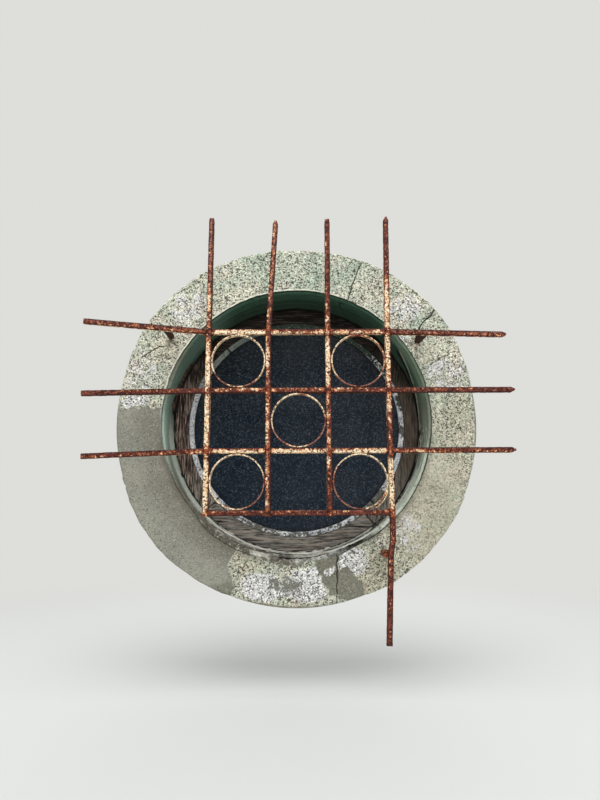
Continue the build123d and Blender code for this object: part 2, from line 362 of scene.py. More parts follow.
class Finish(Nodes):
    """A material whose colour, roughness and relief are worked out from where a point lies."""

    def __init__(self, name, **constants):
        self.material = bpy.data.materials.new(name)
        self.material.use_nodes = True
        super().__init__(self.material.node_tree)
        self.shader = self.tree.nodes["Principled BSDF"]
        for socket, value in constants.items():
            self.shader.inputs[socket.replace("_", " ")].default_value = value
        place = self.node("ShaderNodeTexCoord", output="Object")
        self.place = self.node(
            "ShaderNodeVectorMath", {"operation": "SCALE"}, {0: place, "Scale": 1 / MM}
        )

    def noise(self, size, detail=2.0, stretch=(1, 1, 1), rough=0.5, shift=0.0):
        """Noise from 0 to 1 with bumps of a size in millimetres, longer where stretched."""
        scales = tuple(1 / size / s for s in stretch)
        spot = self.node("ShaderNodeVectorMath", {"operation": "MULTIPLY"}, {0: self.place, 1: scales})
        if shift:
            spot = self.node("ShaderNodeVectorMath", {"operation": "ADD"}, {0: spot, 1: (shift,) * 3})
        sockets = {"Vector": spot, "Scale": 1.0, "Detail": detail, "Roughness": rough}
        return self.node("ShaderNodeTexNoise", None, sockets)

    def grains(self, size):
        """A random value from 0 to 1 for each grain; grains are of a size in millimetres."""
        cells = {"Vector": self.place, "Scale": 1 / size}
        colour = self.node("ShaderNodeTexVoronoi", None, cells, "Color")
        return self.node("ShaderNodeSeparateXYZ", None, {0: colour}, "X")

    def toward(self, heading, reach):
        """1 on the side of the opening that a heading in degrees points at, 0 past its reach."""
        across = self.axis("X") * (cos(radians(heading)) / bore_r)
        ahead = across + self.axis("Z") * (sin(radians(heading)) / bore_r)
        return ahead.between(cos(radians(reach)), cos(radians(reach * 0.4)))

    def field(self, name):
        """Value kept at the mesh's vertices."""
        return self.node("ShaderNodeAttribute", {"attribute_name": name}, None, "Fac")

    def axis(self, name):
        """One coordinate of the point, in millimetres."""
        return self.node("ShaderNodeSeparateXYZ", None, {0: self.place}, name)

    def apply(self, colour, roughness, relief, height=1.0):
        """Wires the colour, roughness and relief; height is the relief's depth in millimetres."""
        bump = self.node("ShaderNodeBump", None, {"Height": relief, "Distance": height * MM})
        for socket, value in (("Base Color", colour), ("Roughness", roughness), ("Normal", bump)):
            if isinstance(value, Signal):
                self.tree.links.new(value.socket, self.shader.inputs[socket])
            else:
                self.shader.inputs[socket].default_value = value
        return self.material


# Paint tones over the reveal, partly painted light and shade: heading and reach in degrees, the
# depths between which the tone comes in, its share, and its colour
REVEAL_TONES_AND_SHADING = (
    (90, 84, 40, -14, 0.5, (80, 118, 96)),
    (183, 34, 40, -14, 0.85, (190, 212, 198)),
    (152, 34, 90, 50, 0.7, (116, 142, 128)),
    (158, 16, -4, -16, 0.4, (150, 134, 106)),
    (26, 24, 34, 8, 0.85, (140, 160, 138)),
    (234, 50, 26, 8, 0.9, (102, 96, 82)),
    (207, 34, 24, 42, 0.85, (220, 230, 216)),
    (335, 40, 74, 34, 0.85, (208, 220, 200)),
    (0, 14, 200, 110, 0.55, (92, 90, 74)),
)
# Painted highlight and painted shade in bands along the trowel's ridges on the lower reveal:
# heading and reach in degrees, depth and half width in millimetres, and how light (above 0) or
# dark (below 0)
RIDGE_LIGHT_BANDS = (
    (232, 12, 88, 18, -1.0),
    (232, 13, 54, 13, 1.0),
    (232, 13, 20, 12, -0.5),
    (230, 18, -16, 9, -0.3),
    (247, 17, 68, 20, 1.0),
    (247, 17, 2, 16, -0.35),
    (261, 11, 16, 26, -0.95),
    (258, 9, 84, 12, 0.6),
    (255, 6, -18, 8, 0.5),
    (274, 9, 60, 32, 1.0),
    (274, 9, -10, 12, 0.5),
    (281, 8, 48, 22, -0.95),
    (281, 8, -14, 8, 0.5),
    (292, 17, 50, 21, -1.1),
    (294, 16, 2, 16, 1.0),
    (289, 10, -20, 7, -0.6),
    (300, 10, -17, 8, -0.8),
    (306, 12, 48, 19, -1.0),
    (311, 14, -12, 12, 0.5),
    (332, 44, 92, 22, -1.0),
    (317, 19, 70, 19, -0.9),
    (327, 14, 52, 13, 0.6),
    (347, 14, 44, 28, -0.5),
)


def trowel_light_and_shade(points):
    """Painted highlight (above 0) and painted shade (below 0) in bands along the reveal's trowel ridges.
    """
    x, y, z = points[..., 0], points[..., 1], points[..., 2]
    level = y + 4 * noise(points, 34, 98, 2)
    bands = np.zeros(x.shape)
    for heading, reach, depth, half, amount in RIDGE_LIGHT_BANDS:
        beside = ease(abs(turned_from(heading, x, z)), reach, 0.4 * reach)
        bands += amount * beside * ease(abs(level - depth), half, 0.4 * half)
    return np.clip(bands, -1, 1)


def sleeve_paint(f):
    """Colour of the old green paint in the reveal: sheltered and darker at the top, partly as painted
    shade under the soffit, and bleached below.
    """
    cloud = f.noise(60, 3)
    grit = f.noise(3.6, 2)
    height = f.axis("Z") * (1 / bore_r) + (cloud - 0.5) * 0.3
    depth = f.axis("Y") + (cloud - 0.5) * 14 + (grit - 0.5) * 8
    colour = f.mix(height.between(-0.75, -0.05), tone(180, 182, 173), tone(122, 136, 122))
    colour = f.mix(height.between(-0.05, 0.5), colour, tone(78, 110, 92))
    colour = f.mix(height.between(0.45, 0.95), colour, tone(40, 70, 53))
    # Painted shade deeper in the upper reveal
    shade = depth.between(30, 62) * height.between(-0.35, 0.1)
    colour = f.mix(shade * 0.5, colour, tone(50, 68, 56))
    # Paint tones, with painted light and shade, from the table
    for heading, reach, start, full, amount, shade_tone in REVEAL_TONES_AND_SHADING:
        share = f.toward(heading, reach) * depth.between(start, full) * amount
        colour = f.mix(share, colour, tone(*shade_tone))
    ragged = f.noise(7, 3, stretch=(1, 4, 1), rough=0.7)
    rubble = f.toward(272, 56) * 0.6
    colour = f.mix(ragged.between(0.48, 0.41) * rubble, colour, tone(70, 67, 58))
    colour = f.mix(ragged.between(0.55, 0.62) * rubble, colour, tone(226, 225, 214))
    # Painted highlights and painted shade along the trowel's ridges
    ridge_light_and_shade = f.field("ridge_light_and_shade") + (ragged - 0.5) * 0.5
    colour = f.mix(ridge_light_and_shade.between(0.1, 0.9), colour, tone(255, 252, 240))
    colour = f.mix(ridge_light_and_shade.between(-0.1, -0.9), colour, tone(36, 34, 27))
    colour = f.mix(grit.between(0.44, 0.3) * 0.45, colour, tone(40, 44, 36))
    return f.mix(grit.between(0.6, 0.74) * height.between(0.3, -0.3) * 0.5, colour, tone(206, 208, 194))


def plaster_finish():
    """Lime-washed render: pale green-grey and gritty, with cement repairs, stains and cracks; painted
    shade in its pits, a painted highlight along the inner edge and painted contact shadow below the lugs.
    """
    f = Finish("weathered_render", Specular_IOR_Level=0.2)
    cloud = f.noise(75, 3)
    drift = f.noise(26, 3, shift=7)
    blush = f.noise(34, 3, shift=21)
    clump = f.noise(10, 3, shift=3, rough=0.7)
    grain = f.grains(2.7)
    sand = f.grains(1.9)
    colour = f.mix(cloud.between(0.38, 0.62), tone(190, 194, 176), tone(210, 208, 190))
    colour = f.mix(drift.between(0.48, 0.66) * 0.5, colour, tone(174, 187, 166))
    colour = f.mix(blush.between(0.52, 0.68) * 0.45, colour, tone(206, 192, 178))
    colour = f.mix(f.field("teal"), colour, tone(146, 180, 162))
    colour = f.mix(f.field("ochre"), colour, tone(184, 178, 156))
    blotch = (f.field("white") + (drift - 0.5) * 1.3 + (clump - 0.5) * 1.1).between(0.3, 0.75)
    colour = f.mix(blotch * 0.85, colour, tone(222, 221, 220))
    rough = 1 - f.field("calm")
    # Darker where the grains are sunk: painted shade in the pits
    pit_shade = f.mix(1.0, colour, (0.13, 0.12, 0.1, 1), "MULTIPLY")
    bright = f.mix(1.0, colour, (1.5, 1.47, 1.46, 1), "MULTIPLY")
    coarse = grain + (clump - 0.5) * 0.45
    colour = f.mix(coarse.between(0.27, 0.13) * rough * 0.9, colour, pit_shade)
    colour = f.mix(coarse.between(0.66, 0.8) * rough, colour, bright)
    colour = f.mix(sand.between(0.2, 0.08) * rough * 0.8, colour, pit_shade)
    dark = (f.field("dirt") * 0.8 + (clump - 0.5) * 2.6 + (grain - 0.5) * 0.4).between(0.45, 0.58)
    colour = f.mix(dark * 0.9, colour, tone(116, 116, 104))
    ragged = f.field("repair") + (drift - 0.5) * 14 + (clump - 0.5) * 18 + (grain - 0.5) * 2
    repair = ragged.between(-0.7, 0.7)
    outward = f.field("outward").between(0.2, 0.8)
    cement = f.mix(outward, tone(139, 135, 124), tone(155, 154, 141))
    cement = f.mix(cloud.between(0.35, 0.65) * 0.4, cement, tone(130, 131, 120))
    cement = f.mix(f.toward(288, 22) * 0.8, cement, tone(124, 123, 108))
    cement = f.mix(sand.between(0.86, 0.94) * 0.5, cement, tone(192, 190, 177))
    cement = f.mix(sand.between(0.16, 0.07) * 0.6, cement, tone(78, 76, 67))
    colour = f.mix(repair, colour, cement)
    # Darker brown band along the inner edge
    colour = f.mix(f.field("edge_brown") * 0.8, colour, tone(98, 90, 76))
    # Rust stain with painted contact shadow below the lugs
    colour = f.mix(f.field("stain_and_shadow"), colour, tone(92, 62, 44))
    edge = f.field("edge")
    # Thin painted highlight on the face just outside the arris
    highlight = edge.between(0.2, 1.0) * edge.between(4.6, 2.6) * f.field("edge_highlight")
    colour = f.mix(highlight, colour, tone(240, 240, 222))
    colour = f.mix(edge.between(0.7, -0.7), colour, sleeve_paint(f))
    line = abs(edge + 0.9).between(1.7, 0.8) * f.field("edge_dark")
    colour = f.mix(line, colour, tone(34, 42, 35))
    line = abs(f.field("crack") + (clump - 0.5) * 1.6).between(1.9, 0.8) * f.field("near")
    colour = f.mix(line, colour, tone(30, 28, 23))
    relief = grain.between(0.1, 0.4) * rough * 0.8 + clump * rough + sand * 0.3
    colour = f.mix(f.field("bedded"), colour, bedding_mortar(f))
    return f.apply(colour, 0.92, relief, 0.9)


# Cracks in the surround: how strongly each shows, and its path in millimetres from the window's
# centre, as all places on the surround are given
CRACKS = (
    (0.9, ((150, 362), (138, 338), (128, 310), (122, 291), (117, 276))),
    (1.0, ((312, 255), (303, 236), (289, 225), (279, 212), (274, 200))),
    (0.8, ((84, -288), (85, -316), (84, -334), (81, -360), (83, -398))),
    (0.6, ((356, 155), (344, 152), (338, 144), (322, 139), (304, 127))),
    (0.8, ((-343, 144), (-327, 155), (-306, 166), (-290, 168))),
    (1.0, ((-44, -288), (-26, -292), (5, -294), (38, -291), (66, -284))),
)
# Cement repairs: the right edge and the top of the one at the left, and two small patches
CEMENT_EDGE = (
    (-118, -262), (-126, -275), (-140, -292), (-146, -312), (-139, -333), (-131, -352),
    (-142, -371), (-146, -410),
)
CEMENT_TOP = 29.0
CEMENT_SPOTS = (
    [(40, -286), (86, -282), (86, -368), (66, -373), (52, -340), (43, -313), (30, -296)],
    [(87, -322), (106, -314), (128, -340), (147, -359), (140, -377), (112, -388), (87, -380)],
)
# Patches that are white, ochre, teal, smooth or dirty: centre x and z, half width, half height
# and strength
WHITE_DAB = (68, -321, 11, 8, 1.6)
WHITE_SPOTS = (
    (-62, -356, 62, 28, 1.0),
    (22, -350, 46, 38, 1.0),
    (113, -302, 34, 30, 1.0),
    WHITE_DAB,
    (-364, 43, 34, 14, 0.8),
    (236, -238, 34, 44, 0.5),
    (-246, 258, 44, 46, 0.55),
    (-340, 105, 46, 56, 0.5),
    (243, 252, 40, 34, 0.6),
    (336, 104, 56, 40, 0.55),
    (236, 176, 16, 12, 0.9),
)
OCHRE_SPOTS = (
    (-112, -306, 34, 34, 0.5),
    (165, -330, 60, 50, 0.7),
    (-268, 165, 60, 26, 0.3),
    (270, -215, 80, 110, 0.7),
    (350, -60, 60, 120, 0.45),
)
TEAL_SPOTS = (
    (297, -45, 8, 14, 0.8),
    (338, 228, 12, 20, 0.6),
    (270, 215, 20, 22, 0.4),
    (0, 345, 170, 50, 0.25),
)
CALM_SPOTS = (
    (297, 80, 40, 60, 0.2),
    (290, -180, 80, 140, 0.5),
)
DIRT_SPOTS = (
    (-26, -350, 36, 20, 0.75),
    (-20, -303, 32, 10, 0.8),
    (-67, -299, 9, 7, 0.8),
    (248, 170, 22, 10, 0.45),
    (262, 187, 16, 12, 0.35),
)
# Where rain has rounded the inner edge: heading and reach in degrees, and how wide
WORN_EDGE = ((241, 22, 9.0), (265, 11, 12.0), (278, 20, 5.0), (312, 30, 2.0))
# Where the inner edge has a darker brown band, a dark line, or a painted highlight line: heading and
# reach in degrees, and strength
BROWN_EDGE = ((232, 40, 0.6), (205, 30, 0.7), (150, 14, 0.3), (312, 22, 0.6), (340, 18, 0.5))
DARK_EDGE = ((95, 95, 0.9), (20, 40, 0.75), (228, 44, 0.6), (326, 50, 0.95), (180, 20, 0.6))
EDGE_HIGHLIGHT = ((112, 78, 0.95), (60, 40, 0.6))
# Rust stain with painted contact shadow below each lug: drop, half width, half height and strength
LUG_STAIN_AND_SHADOW = (7.0, 13.0, 16.0, 0.35)


def surround_cracks(points, radius):
    """Distance to the nearest crack in the surround, and how strongly it shows."""
    x, z = points[..., 0], points[..., 2]
    wiggle = 2.2 * noise(points, 11, 21, 2)
    crack = np.full(x.shape, FAR)
    share = np.zeros(x.shape)
    for amount, path in CRACKS:
        gap = from_line(path, x + wiggle, z + wiggle)
        nearer = abs(gap) < abs(crack)
        crack = np.where(nearer, gap, crack)
        share = np.where(nearer, amount, share)
    near = share * ease(abs(crack), 9, 5) * ease(radius, bore_r - 2, bore_r + 1)
    return np.clip(crack, -CRACK_REACH, CRACK_REACH), near


def surround_repair(points):
    """How far each point lies inside the nearest cement repair, below zero outside it."""
    x, z = points[..., 0], points[..., 2]
    left = np.minimum(CEMENT_TOP + 5 * noise(points, 25, 5) - z, -from_line(CEMENT_EDGE, x, z))
    left = np.where((x < 0) & (z < CEMENT_TOP + REPAIR_REACH), left, -REPAIR_REACH)
    small = np.max([inside(patch, x, z) for patch in CEMENT_SPOTS], axis=0)
    return np.clip(np.maximum(left, small), -REPAIR_REACH, REPAIR_REACH)


def lug_marks(points, bent):
    """Rust stain with painted contact shadow below each lug, and the mortar that beds it."""
    x, z = points[..., 0], points[..., 2]
    stain_and_shadow, bedding = np.zeros(x.shape), np.zeros(x.shape)
    drop, wide, tall, amount = LUG_STAIN_AND_SHADOW
    for lug in LUG_LOOKS:
        lx, lz = middle(lug)
        below = ((lx, lz - drop, wide, tall, amount),)
        stain_and_shadow = np.maximum(stain_and_shadow, spots(below, bent[..., 0], bent[..., 2]))
        bedding = np.maximum(bedding, ease(np.hypot(x - lx, z - lz), 19, 9))
    return stain_and_shadow, bedding


def shape_surround():
    """Surround: hand-floated ring with an uneven rim, cracks, losses and a worn inner edge."""
    section, away = outline(
        [
            (arris_r, face_y, 1.95),
            (outer_r - rim_bevel, face_y, 1.4),
            (outer_r, face_y + rim_bevel, 2.4),
            (outer_r, back_y, 8.0),
            (collar_r, back_y, 3.0),
            (collar_r, collar_y, 6.0),
            (bore_r, collar_y, 2.0),
            (bore_r, face_y + arris_bevel, 1.7),
        ]
    )
    angles = np.linspace(0, 2 * pi, SURROUND_ROWS, endpoint=False)
    points, normals = turn(section, away, angles)
    x, y, z = points[..., 0], points[..., 1], points[..., 2]
    radius = np.hypot(x, z)
    around = np.arctan2(z, x)
    shown = ease(y, back_y - 1.0, back_y - 4.0)
    on_front = ease(radius, bore_r + 1, arris_r + 2) * shown
    rim = ease(radius, outer_r - 22, outer_r - 2)
    bent = points + 9 * np.stack([noise(points, 34, s, 2) for s in (11, 12, 13)], -1)
    bx, bz = bent[..., 0], bent[..., 2]

    repair = surround_repair(points)
    calm = np.maximum(ease(repair, -2, 3), spots(CALM_SPOTS, x, z))
    crack, near = surround_cracks(points, radius)
    white = spots(WHITE_SPOTS, bx, bz) * ease(repair, 1, -2)
    dab = spots((WHITE_DAB,), bx, bz)
    repair = np.where(repair > 0, repair * (1 - ease(dab, 0.5, 1.2)), repair)
    repair -= 6 * ease(dab, 0.7, 1.3)
    white = np.maximum(white, dab)
    calm = calm * (1 - ease(dab, 0.5, 1.0))
    dirt = spots(DIRT_SPOTS, bx, bz)
    worn = arcs(WORN_EDGE, x, z)
    edge = radius - arris_r - worn + 0.8 * noise(points, 13, 14, 2)
    stain_and_shadow, bedding = lug_marks(points, bent)

    relief = 1.0 * noise(points, 85, 31, 2) + 0.5 * noise(points, 24, 32, 2)
    relief += (1 - 0.8 * calm) * (0.42 * noise(points, 6.5, 33) + 0.3 * noise(points, 3.1, 34))
    relief += 0.9 * ease(white, 0.25, 0.6) * (1 + 0.6 * noise(points, 9, 35, 2))
    relief -= 1.5 * ease(dirt, 0.3, 0.7)
    relief -= 0.9 * ease(abs(repair), 1.6, 0.2) * ease(z, -200, -240)
    relief -= 2.0 * ease(abs(crack), 2.0, 0.4) * near
    relief += bedding * (1.3 + 0.9 * noise(points, 7, 36, 2))
    relief -= 0.35 * worn * ease(edge, 1.5, -7.0)
    relief *= shown
    chip = ease(noise(points, 9, 41, 2) + 0.25 * calm, -0.55, -1.0)
    chip = chip * ease(radius, arris_r + 4, arris_r)
    chip = chip + ease(np.hypot(x - 121, z - 290), 10, 3) * on_front
    chip += 0.8 * ease(noise(points, 11, 42, 2), -0.5, -0.95) * rim
    relief -= 2.6 * chip * shown
    points = points + normals * relief[..., None]
    grown = rim * (2.5 * noise(points, 120, 51, 2) + 0.9 * noise(points, 16, 52, 2))
    grown += rim * (-1.6 - 3.4 * np.cos(4 * around))
    outward = np.stack([np.cos(around), np.zeros(x.shape), np.sin(around)], -1)
    points = points + outward * (grown * shown)[..., None]
    fields = {
        "edge": np.clip(edge, -20, 20),
        "edge_dark": arcs(DARK_EDGE, x, z),
        "bedded": 1 - shown,
        "edge_highlight": arcs(EDGE_HIGHLIGHT, x, z) * ease(noise(points, 16, 62, 2), -0.9, 0.2),
        "edge_brown": arcs(BROWN_EDGE, x, z) * ease(edge, 17, 1) * shown,
        "repair": repair,
        "calm": calm,
        "crack": crack,
        "near": near,
        "white": white,
        "dirt": dirt,
        "stain_and_shadow": stain_and_shadow * ease(noise(points, 14, 61, 2), -0.6, 0.6),
        "ridge_light_and_shade": trowel_light_and_shade(points),
        "ochre": spots(OCHRE_SPOTS, bx, bz),
        "teal": spots(TEAL_SPOTS, bx, bz),
        "outward": ease(radius, bore_r, outer_r),
    }
    mesh = skin("surround_mesh", points, closed=True, smooth_angle=32, **fields)
    place("floated_surround", mesh, plaster_finish(), "cast_surround", "surround")


def bedding_mortar(f):
    """Colour of the rough mortar on the outside and the back, which are built in."""
    cloud = f.noise(30, 3, shift=31)
    sand = f.noise(2.4, 2, shift=37, rough=0.7)
    colour = f.mix(cloud.between(0.35, 0.65), tone(126, 121, 108), tone(152, 147, 133))
    return f.mix(sand.between(0.5, 0.36) * 0.6, colour, tone(90, 86, 76))


def lining_finish():
    """The painted sleeve: old green paint, bare patches, cracks, soot and painted shade at the wood, and
    painted highlight and shade along the trowel's ridges.
    """
    f = Finish("bleached_paint", Specular_IOR_Level=0.25)
    grit = f.noise(3.6, 2, rough=0.7)
    streak = f.noise(5, 3, stretch=(1, 9, 1))
    colour = sleeve_paint(f)
    bare = f.field("bare") + (grit - 0.5) * 0.6
    colour = f.mix(bare.between(0.35, 0.6), colour, tone(204, 202, 188))
    # Painted highlight on the trowel's crests and painted shade in its grooves
    colour = f.mix(f.field("crest_highlight") * 0.5, colour, tone(202, 208, 192))
    groove_shade = f.field("groove_shade") + (grit - 0.5) * 0.8 + (streak - 0.5) * 0.6
    colour = f.mix(groove_shade.between(0.45, 0.8) * 0.85, colour, tone(44, 48, 40))
    laid_bare = f.mix(streak.between(0.4, 0.6), tone(52, 36, 30), tone(112, 90, 78))
    colour = f.mix(f.field("loss"), colour, laid_bare)
    colour = f.mix(f.field("lip"), colour, tone(190, 190, 168))
    colour = f.mix(f.field("soot_and_shade"), colour, tone(16, 16, 13))
    line = abs(f.field("crack") + (grit - 0.5) * 1.2).between(1.4, 0.4) * f.field("near")
    colour = f.mix(line, colour, tone(12, 16, 12))
    colour = f.mix(f.field("bedded"), colour, bedding_mortar(f))
    return f.apply(colour, 0.8, grit + streak * 0.6, 0.7)


# Ridges left by the trowel round the reveal: depth and rise in millimetres; and where their
# painted highlight and painted shade show: heading and reach in degrees, and strength
RIDGES = ((-4.0, 0.6), (20.0, 0.8), (47.0, 0.8), (74.0, 0.7))
RIDGE_ARCS = ((312, 48, 1.0), (226, 44, 0.85), (270, 60, 0.35), (90, 100, 0.1))
# Paths on the reveal, as headings in degrees and depths in millimetres
REVEAL_CRACKS = (
    ((65.4, -8), (69.3, -3), (70.1, 12), (69.1, 30), (67.2, 53), (66.1, 84)),
    ((249, 98), (253, 66), (257, 30), (260, 4), (263, -8)),
    ((281, -8), (284, 3), (291, 32), (297, 70), (301, 92)),
)
LEFT_LOSS = (
    (145, 108), (150, 70), (156, 59), (162, 54), (167, 62), (170, 50), (173, 58), (175, 78),
    (178, 108),
)
RIGHT_LIP = ((36, 26), (27, 46), (21, 61), (16.5, 68), (12, 78), (4, 88), (-8, 92), (-20, 95))
# Dark chips and lifted flakes on the reveal: heading, depth, half width and half depth
CHIPS = ((170.8, 55, 6, 9), (167.5, 72, 8, 15), (173.2, 88, 7, 13), (69.3, -3, 8, 8), (203, 90, 6, 12))
FLAKES = ((257.5, 80, 9, 17), (272.5, 95, 8, 7), (278, 95, 7, 7), (284, 94, 9, 7), (238, 94, 8, 8))


def trowel_ridges(points):
    """Rise of the trowel's ridges on the reveal, and how much painted shade shows in their grooves and
    painted highlight on their crests.
    """
    x, y, z = points[..., 0], points[..., 1], points[..., 2]
    waver = 4 * noise(points, 70, 73, 2)
    combed = arcs(RIDGE_ARCS, x, z)
    rises, groove_shade, crest_highlight = (np.zeros(x.shape) for _ in range(3))
    for level, rise in RIDGES:
        strength = 0.75 + 0.5 * noise(points * (1, 0, 1), 90, int(level) + 80)
        ridge = strength * ease(abs(y - level - waver), 4.0, 0.6)
        rises += rise * ridge
        crest_highlight = np.maximum(crest_highlight, ridge * combed)
        beside = ease(abs(y - level - 6 - waver), 6.5, 1.0)
        groove_shade = np.maximum(groove_shade, combed * strength * beside)
    return rises, groove_shade, crest_highlight


def reveal_cracks(points, ragged):
    """Distance to the nearest crack in the reveal."""
    x, y, z = points[..., 0], points[..., 1], points[..., 2]
    waver = 1.8 * noise(points, 9, 93, 2)
    gap = np.full(x.shape, FAR)
    for line in REVEAL_CRACKS:
        path, along = on_bore(line, x, z)
        found = from_line(path, along + waver, y + ragged)
        found = np.where(abs(turned_from(line[0][0], x, z)) < 60, found, FAR)
        gap = np.where(abs(found) < abs(gap), found, gap)
    return gap


def reveal_spots(marks, points, ragged):
    """Ragged spots on the reveal, each given by heading, depth, half width and half depth."""
    total = np.zeros(points.shape[:-1])
    for heading, depth, wide, deep in marks:
        across = bore_r * np.radians(turned_from(heading, points[..., 0], points[..., 2]))
        reach = np.hypot((across + ragged) / wide, (points[..., 1] - depth + ragged) / deep)
        total = np.maximum(total, ease(reach, 1.15, 0.75))
    return total


def shape_lining():
    """Lining: trowelled sleeve with ridges, chips, cracks and mortar at the wood."""
    section, away = outline(
        [
            (bore_r, collar_y, 2.4),
            (bore_r, wood_front_y, 7.0),
            (bore_r, shoulder_y, 4.0),
            (shoulder_r, shoulder_y, 4.0),
            (shoulder_r, lining_end_y, 5.0),
            (sleeve_r, lining_end_y, 8.0),
            (sleeve_r, back_y, 3.5),
            (collar_r, back_y, 3.0),
            (collar_r, collar_y, 5.0),
        ]
    )
    angles = np.linspace(0, 2 * pi, LINING_ROWS, endpoint=False)
    points, normals = turn(section, away, angles)
    x, y, z = points[..., 0], points[..., 1], points[..., 2]
    radius = np.hypot(x, z)
    bore = ease(radius, bore_r + 0.5, bore_r + 0.1) * ease(y, wood_front_y + 0.5, wood_front_y - 3)
    eased = bore * ease(y, collar_y + 1, collar_y + 6) * ease(y, wood_front_y - 1, wood_front_y - 7)
    below = ease(z, -0.45 * bore_r, -0.9 * bore_r)
    rises, groove_shade, crest_highlight = trowel_ridges(points)
    relief = 0.9 * noise(points, 60, 71, 2) + 0.35 * noise(points, 5, 72, 2) + rises
    peel = noise(points, (16, 9, 16), 91, 3) + 0.25 * below
    bare = ease(peel, 0.45, 0.65) * ease(z, 60, -60)
    relief -= 0.7 * bare

    corners, along = on_bore(LEFT_LOSS, x, z)
    ragged = 2.5 * noise(points, 8, 96, 2)
    loss = inside(corners, along + ragged, y + ragged)
    relief -= 1.2 * ease(loss, -1, 2)
    path, along = on_bore(RIGHT_LIP, x, z)
    deeper = -from_line(path, along, y + ragged)
    beside = ease(abs(turned_from(10, x, z)), 30, 24)
    lip = beside * ease(abs(deeper), 6.5, 3.0) * ease(noise(points, 18, 97, 2), -0.9, 0.1)
    behind = beside * ease(deeper, 5, 9) * ease(deeper, 30, 20)
    relief += 0.8 * lip

    gap = reveal_cracks(points, ragged)
    near = ease(abs(gap), 9, 5) * bore
    relief -= 1.6 * ease(abs(gap), 2.0, 0.5) * near

    chip = reveal_spots(CHIPS, points, ragged)
    flake = reveal_spots(FLAKES, points, ragged)
    relief = relief * eased - (2.4 * chip - 2.0 * flake) * bore
    mortar = ease(y, wood_front_y - 12, wood_front_y - 6)
    mortar = mortar * ease(y, wood_front_y - 1, wood_front_y - 3)
    mortar = mortar * below * ease(noise(points, 7, 92, 3), -0.5, 0.4)
    relief = relief + 1.6 * mortar
    rough_back = ease(radius, sleeve_r - 0.5, sleeve_r - 0.1) * ease(y, back_y + 2, back_y + 8)
    rough_back *= ease(y, lining_end_y - 2, lining_end_y - 8)
    relief -= rough_back * (1.1 + 0.9 * noise(points, 14, 94, 3))
    points = points + normals * relief[..., None]
    # Soot with painted shade in the corner at the wood, behind the mortar lip and round the loss
    worn_soot_and_shade = 0.5 + 0.5 * ease(noise(points, 20, 95, 2), -0.5, 0.3)
    soot_and_shade = ease(y, wood_front_y - 12, wood_front_y - 4) * worn_soot_and_shade * (1 - 0.8 * mortar)
    soot_and_shade = np.maximum(soot_and_shade, 0.9 * ease(abs(loss), 4.0, 1.5) * ease(y, 92, 86))
    soot_and_shade = np.maximum(np.maximum(soot_and_shade, chip), 0.92 * behind) * (1 - flake)
    outside = ease(radius, bore_r + 1, bore_r + 4)
    at_end = ease(y, shoulder_y - 6, shoulder_y - 2)
    fields = {
        "bare": np.maximum(np.maximum(bare, mortar), 1.3 * flake),
        "soot_and_shade": soot_and_shade,
        "loss": ease(loss, -1.0, 1.5) * bore,
        "lip": lip * 0.8,
        "ridge_light_and_shade": trowel_light_and_shade(points),
        "groove_shade": groove_shade * bore * (1 - below),
        "crest_highlight": crest_highlight * bore * (1 - 0.7 * ease(z, 0, -0.45 * bore_r)),
        "bedded": np.maximum(outside, at_end),
        "crack": np.clip(gap, -CRACK_REACH, CRACK_REACH),
        "near": near,
    }
    mesh = skin("lining_mesh", points, closed=True, smooth_angle=60, **fields)
    place("painted_sleeve", mesh, lining_finish(), "painted_lining", "lining")


def wood_finish(name, stretch):
    """Weathered timber with open grain along the boards: silver low down, partly where rain reaches it
    and partly painted light, and near-black at the top as painted shadow under the reveal.
    """
    f = Finish(name, Specular_IOR_Level=0.25)
    height = f.axis("Z") * (1 / sight_r) + (f.noise(35, 3) - 0.5) * 0.4
    grain = f.noise(2.5, 3, stretch=stretch, rough=0.6)
    fine = f.noise(2.0, 2, stretch=stretch, shift=9)
    board = f.noise(11.0, 2, stretch=stretch, shift=4)
    red = f.toward(172, 62) * height.between(0.75, 0.2)
    dry = red * 0.75 + height.between(-0.3, -0.9) * 0.5 + 0.12
    # Paler low down, partly weathering and partly painted light; near-black at the top, painted shadow
    # under the reveal
    colour = f.mix(height.between(-0.95, -0.15), tone(142, 139, 131), tone(96, 85, 73))
    colour = f.mix(red * height.between(-0.7, -0.3) * 0.75, colour, tone(96, 73, 66))
    colour = f.mix(height.between(0.05, 0.75), colour, tone(27, 24, 18))
    colour = f.mix(board.between(0.5, 0.66) * 0.5, colour, tone(66, 54, 48))
    colour = f.mix(grain.between(0.51, 0.59) * dry, colour, tone(176, 158, 146))
    colour = f.mix(grain.between(0.49, 0.41) * (dry * 0.8 + 0.2), colour, tone(20, 13, 10))
    colour = f.mix(fine.between(0.46, 0.36) * 0.5, colour, tone(34, 26, 22))
    colour = f.mix(f.field("split"), colour, tone(8, 6, 5))
    return f.apply(colour, 0.85, grain + fine * 0.5, 0.8)


# Directions of the timber's grain: along x, y and z
UPRIGHT_GRAIN = (False, False, True)
LEVEL_GRAIN = (True, False, False)


def from_ends(angles, radius):
    """Distance in millimetres from each angle to the nearer end of a segment."""
    return np.minimum(abs(angles - angles[0]), abs(angles - angles[-1]))[:, None] * radius


